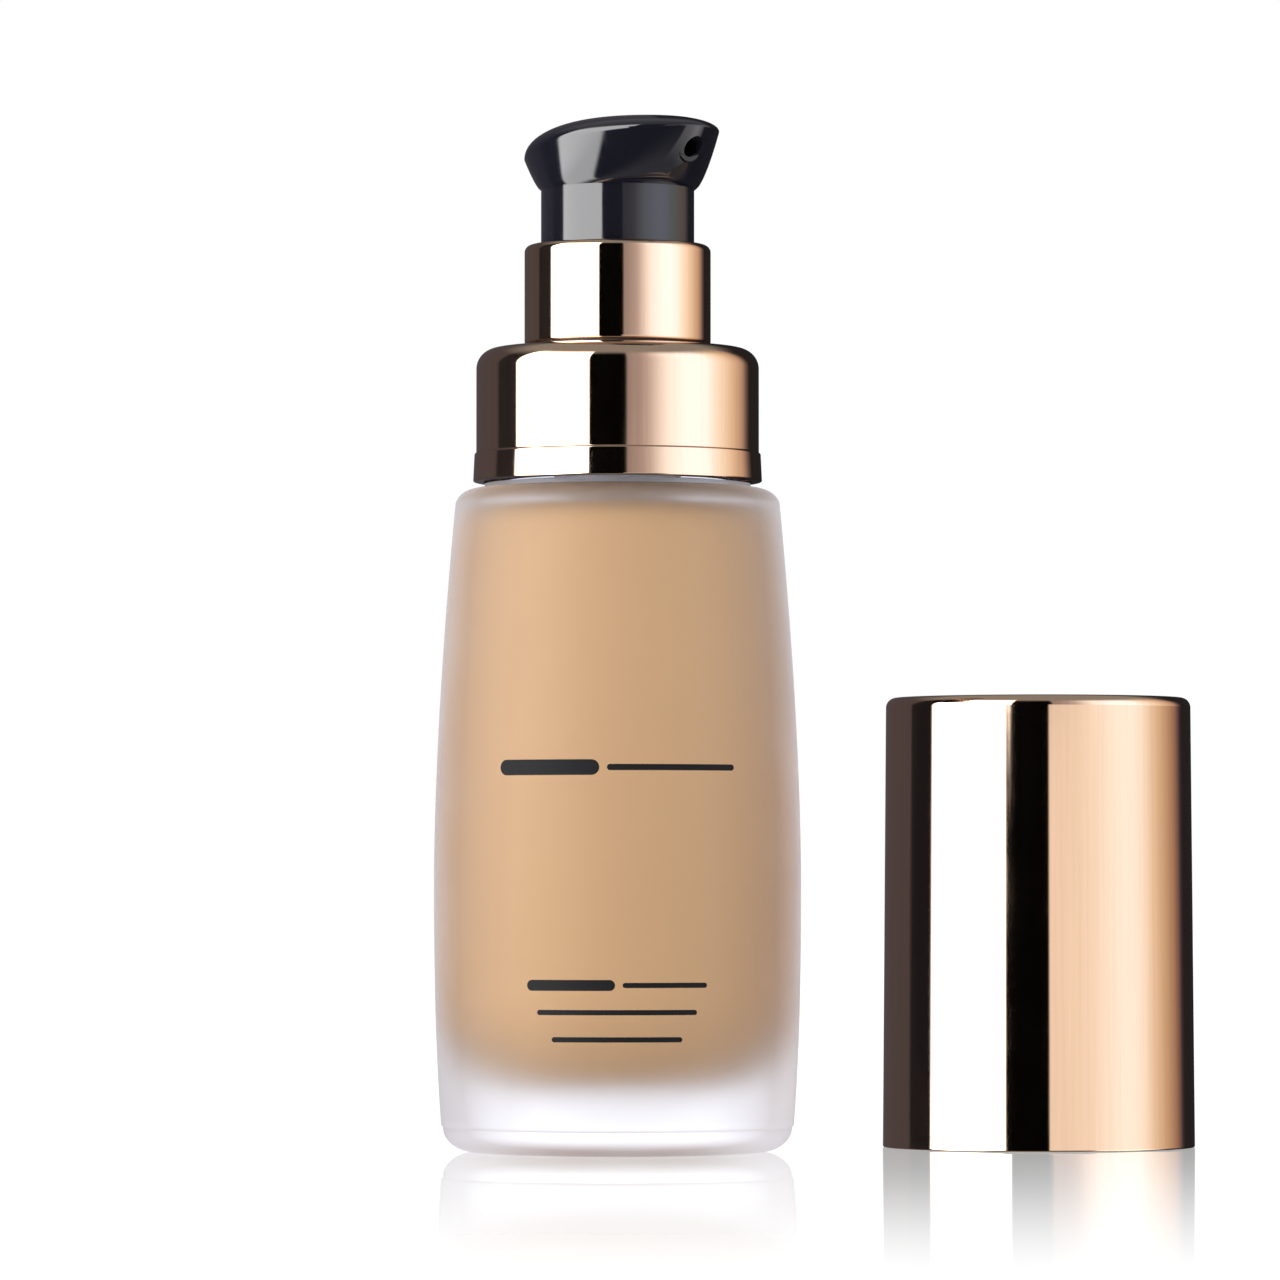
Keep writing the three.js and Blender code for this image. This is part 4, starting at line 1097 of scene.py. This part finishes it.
class FOUNDATION_OT_stage(bpy.types.Operator):
    """Sets the camera, the polished white table and the studio light"""

    bl_idname = "foundation.stage"
    bl_label = "Stage"

    def execute(self, context):
        settings = context.scene.foundation_bottle.stage
        data = bpy.data.cameras.new("product_camera")
        data.lens, data.sensor_width = settings.lens, 36.0
        data.clip_start, data.clip_end = 0.01, 20.0
        camera = bpy.data.objects.new("product_camera", data)
        camera.location = (settings.camera_shift, -settings.distance, settings.camera_height)
        camera.rotation_euler = (math.pi / 2 + settings.tilt, 0.0, 0.0)
        context.scene.collection.objects.link(camera)
        context.scene.camera = camera
        bm = bmesh.new()
        half_width, drop = 3.0, 0.02 * MM
        bmesh.ops.create_grid(bm, x_segments=24, y_segments=24, size=half_width)
        table = object_from(bm, "table", [polished_acrylic(settings)])
        table.location.z = -drop
        table.visible_glossy = False
        studio_world(settings)
        context.scene.view_settings.view_transform = "Standard"
        return {"FINISHED"}


class FOUNDATION_PT_bottle(bpy.types.Panel):
    """Lists the foundation bottle's pieces and its stage"""

    bl_idname = "FOUNDATION_PT_bottle"
    bl_label = "Foundation bottle"
    bl_space_type = "VIEW_3D"
    bl_region_type = "UI"
    bl_category = "Foundation bottle"

    def draw(self, context):
        settings = context.scene.foundation_bottle
        for operator, group in STEPS:
            box = self.layout.box()
            box.operator(operator.bl_idname)
            values = getattr(settings, group, None)
            for name in values.__annotations__ if values else ():
                box.prop(values, name)


STEPS = (
    (FOUNDATION_OT_stage, "stage"),
    (FOUNDATION_OT_bottle, "bottle"),
    (FOUNDATION_OT_contents, ""),
    (FOUNDATION_OT_print, "rules"),
    (FOUNDATION_OT_pump, ""),
    (FOUNDATION_OT_collars, "metal"),
    (FOUNDATION_OT_actuator, "pump"),
    (FOUNDATION_OT_cap, ""),
)
SETTINGS = (
    BottleSettings, PrintSettings, MetalSettings, PumpSettings, StageSettings, FoundationBottleSettings,
)
CLASSES = SETTINGS + tuple(operator for operator, group in STEPS) + (FOUNDATION_PT_bottle,)


def register():
    for item in CLASSES:
        bpy.utils.register_class(item)
    bpy.types.Scene.foundation_bottle = PointerProperty(type=FoundationBottleSettings)


def unregister():
    del bpy.types.Scene.foundation_bottle
    for item in reversed(CLASSES):
        bpy.utils.unregister_class(item)


def main():
    register()
    bpy.ops.foundation.stage()
    bpy.ops.foundation.bottle()
    bpy.ops.foundation.contents()
    bpy.ops.foundation.print()
    bpy.ops.foundation.pump()
    bpy.ops.foundation.collars()
    bpy.ops.foundation.actuator()
    bpy.ops.foundation.cap()


if __name__ == "__main__":
    main()
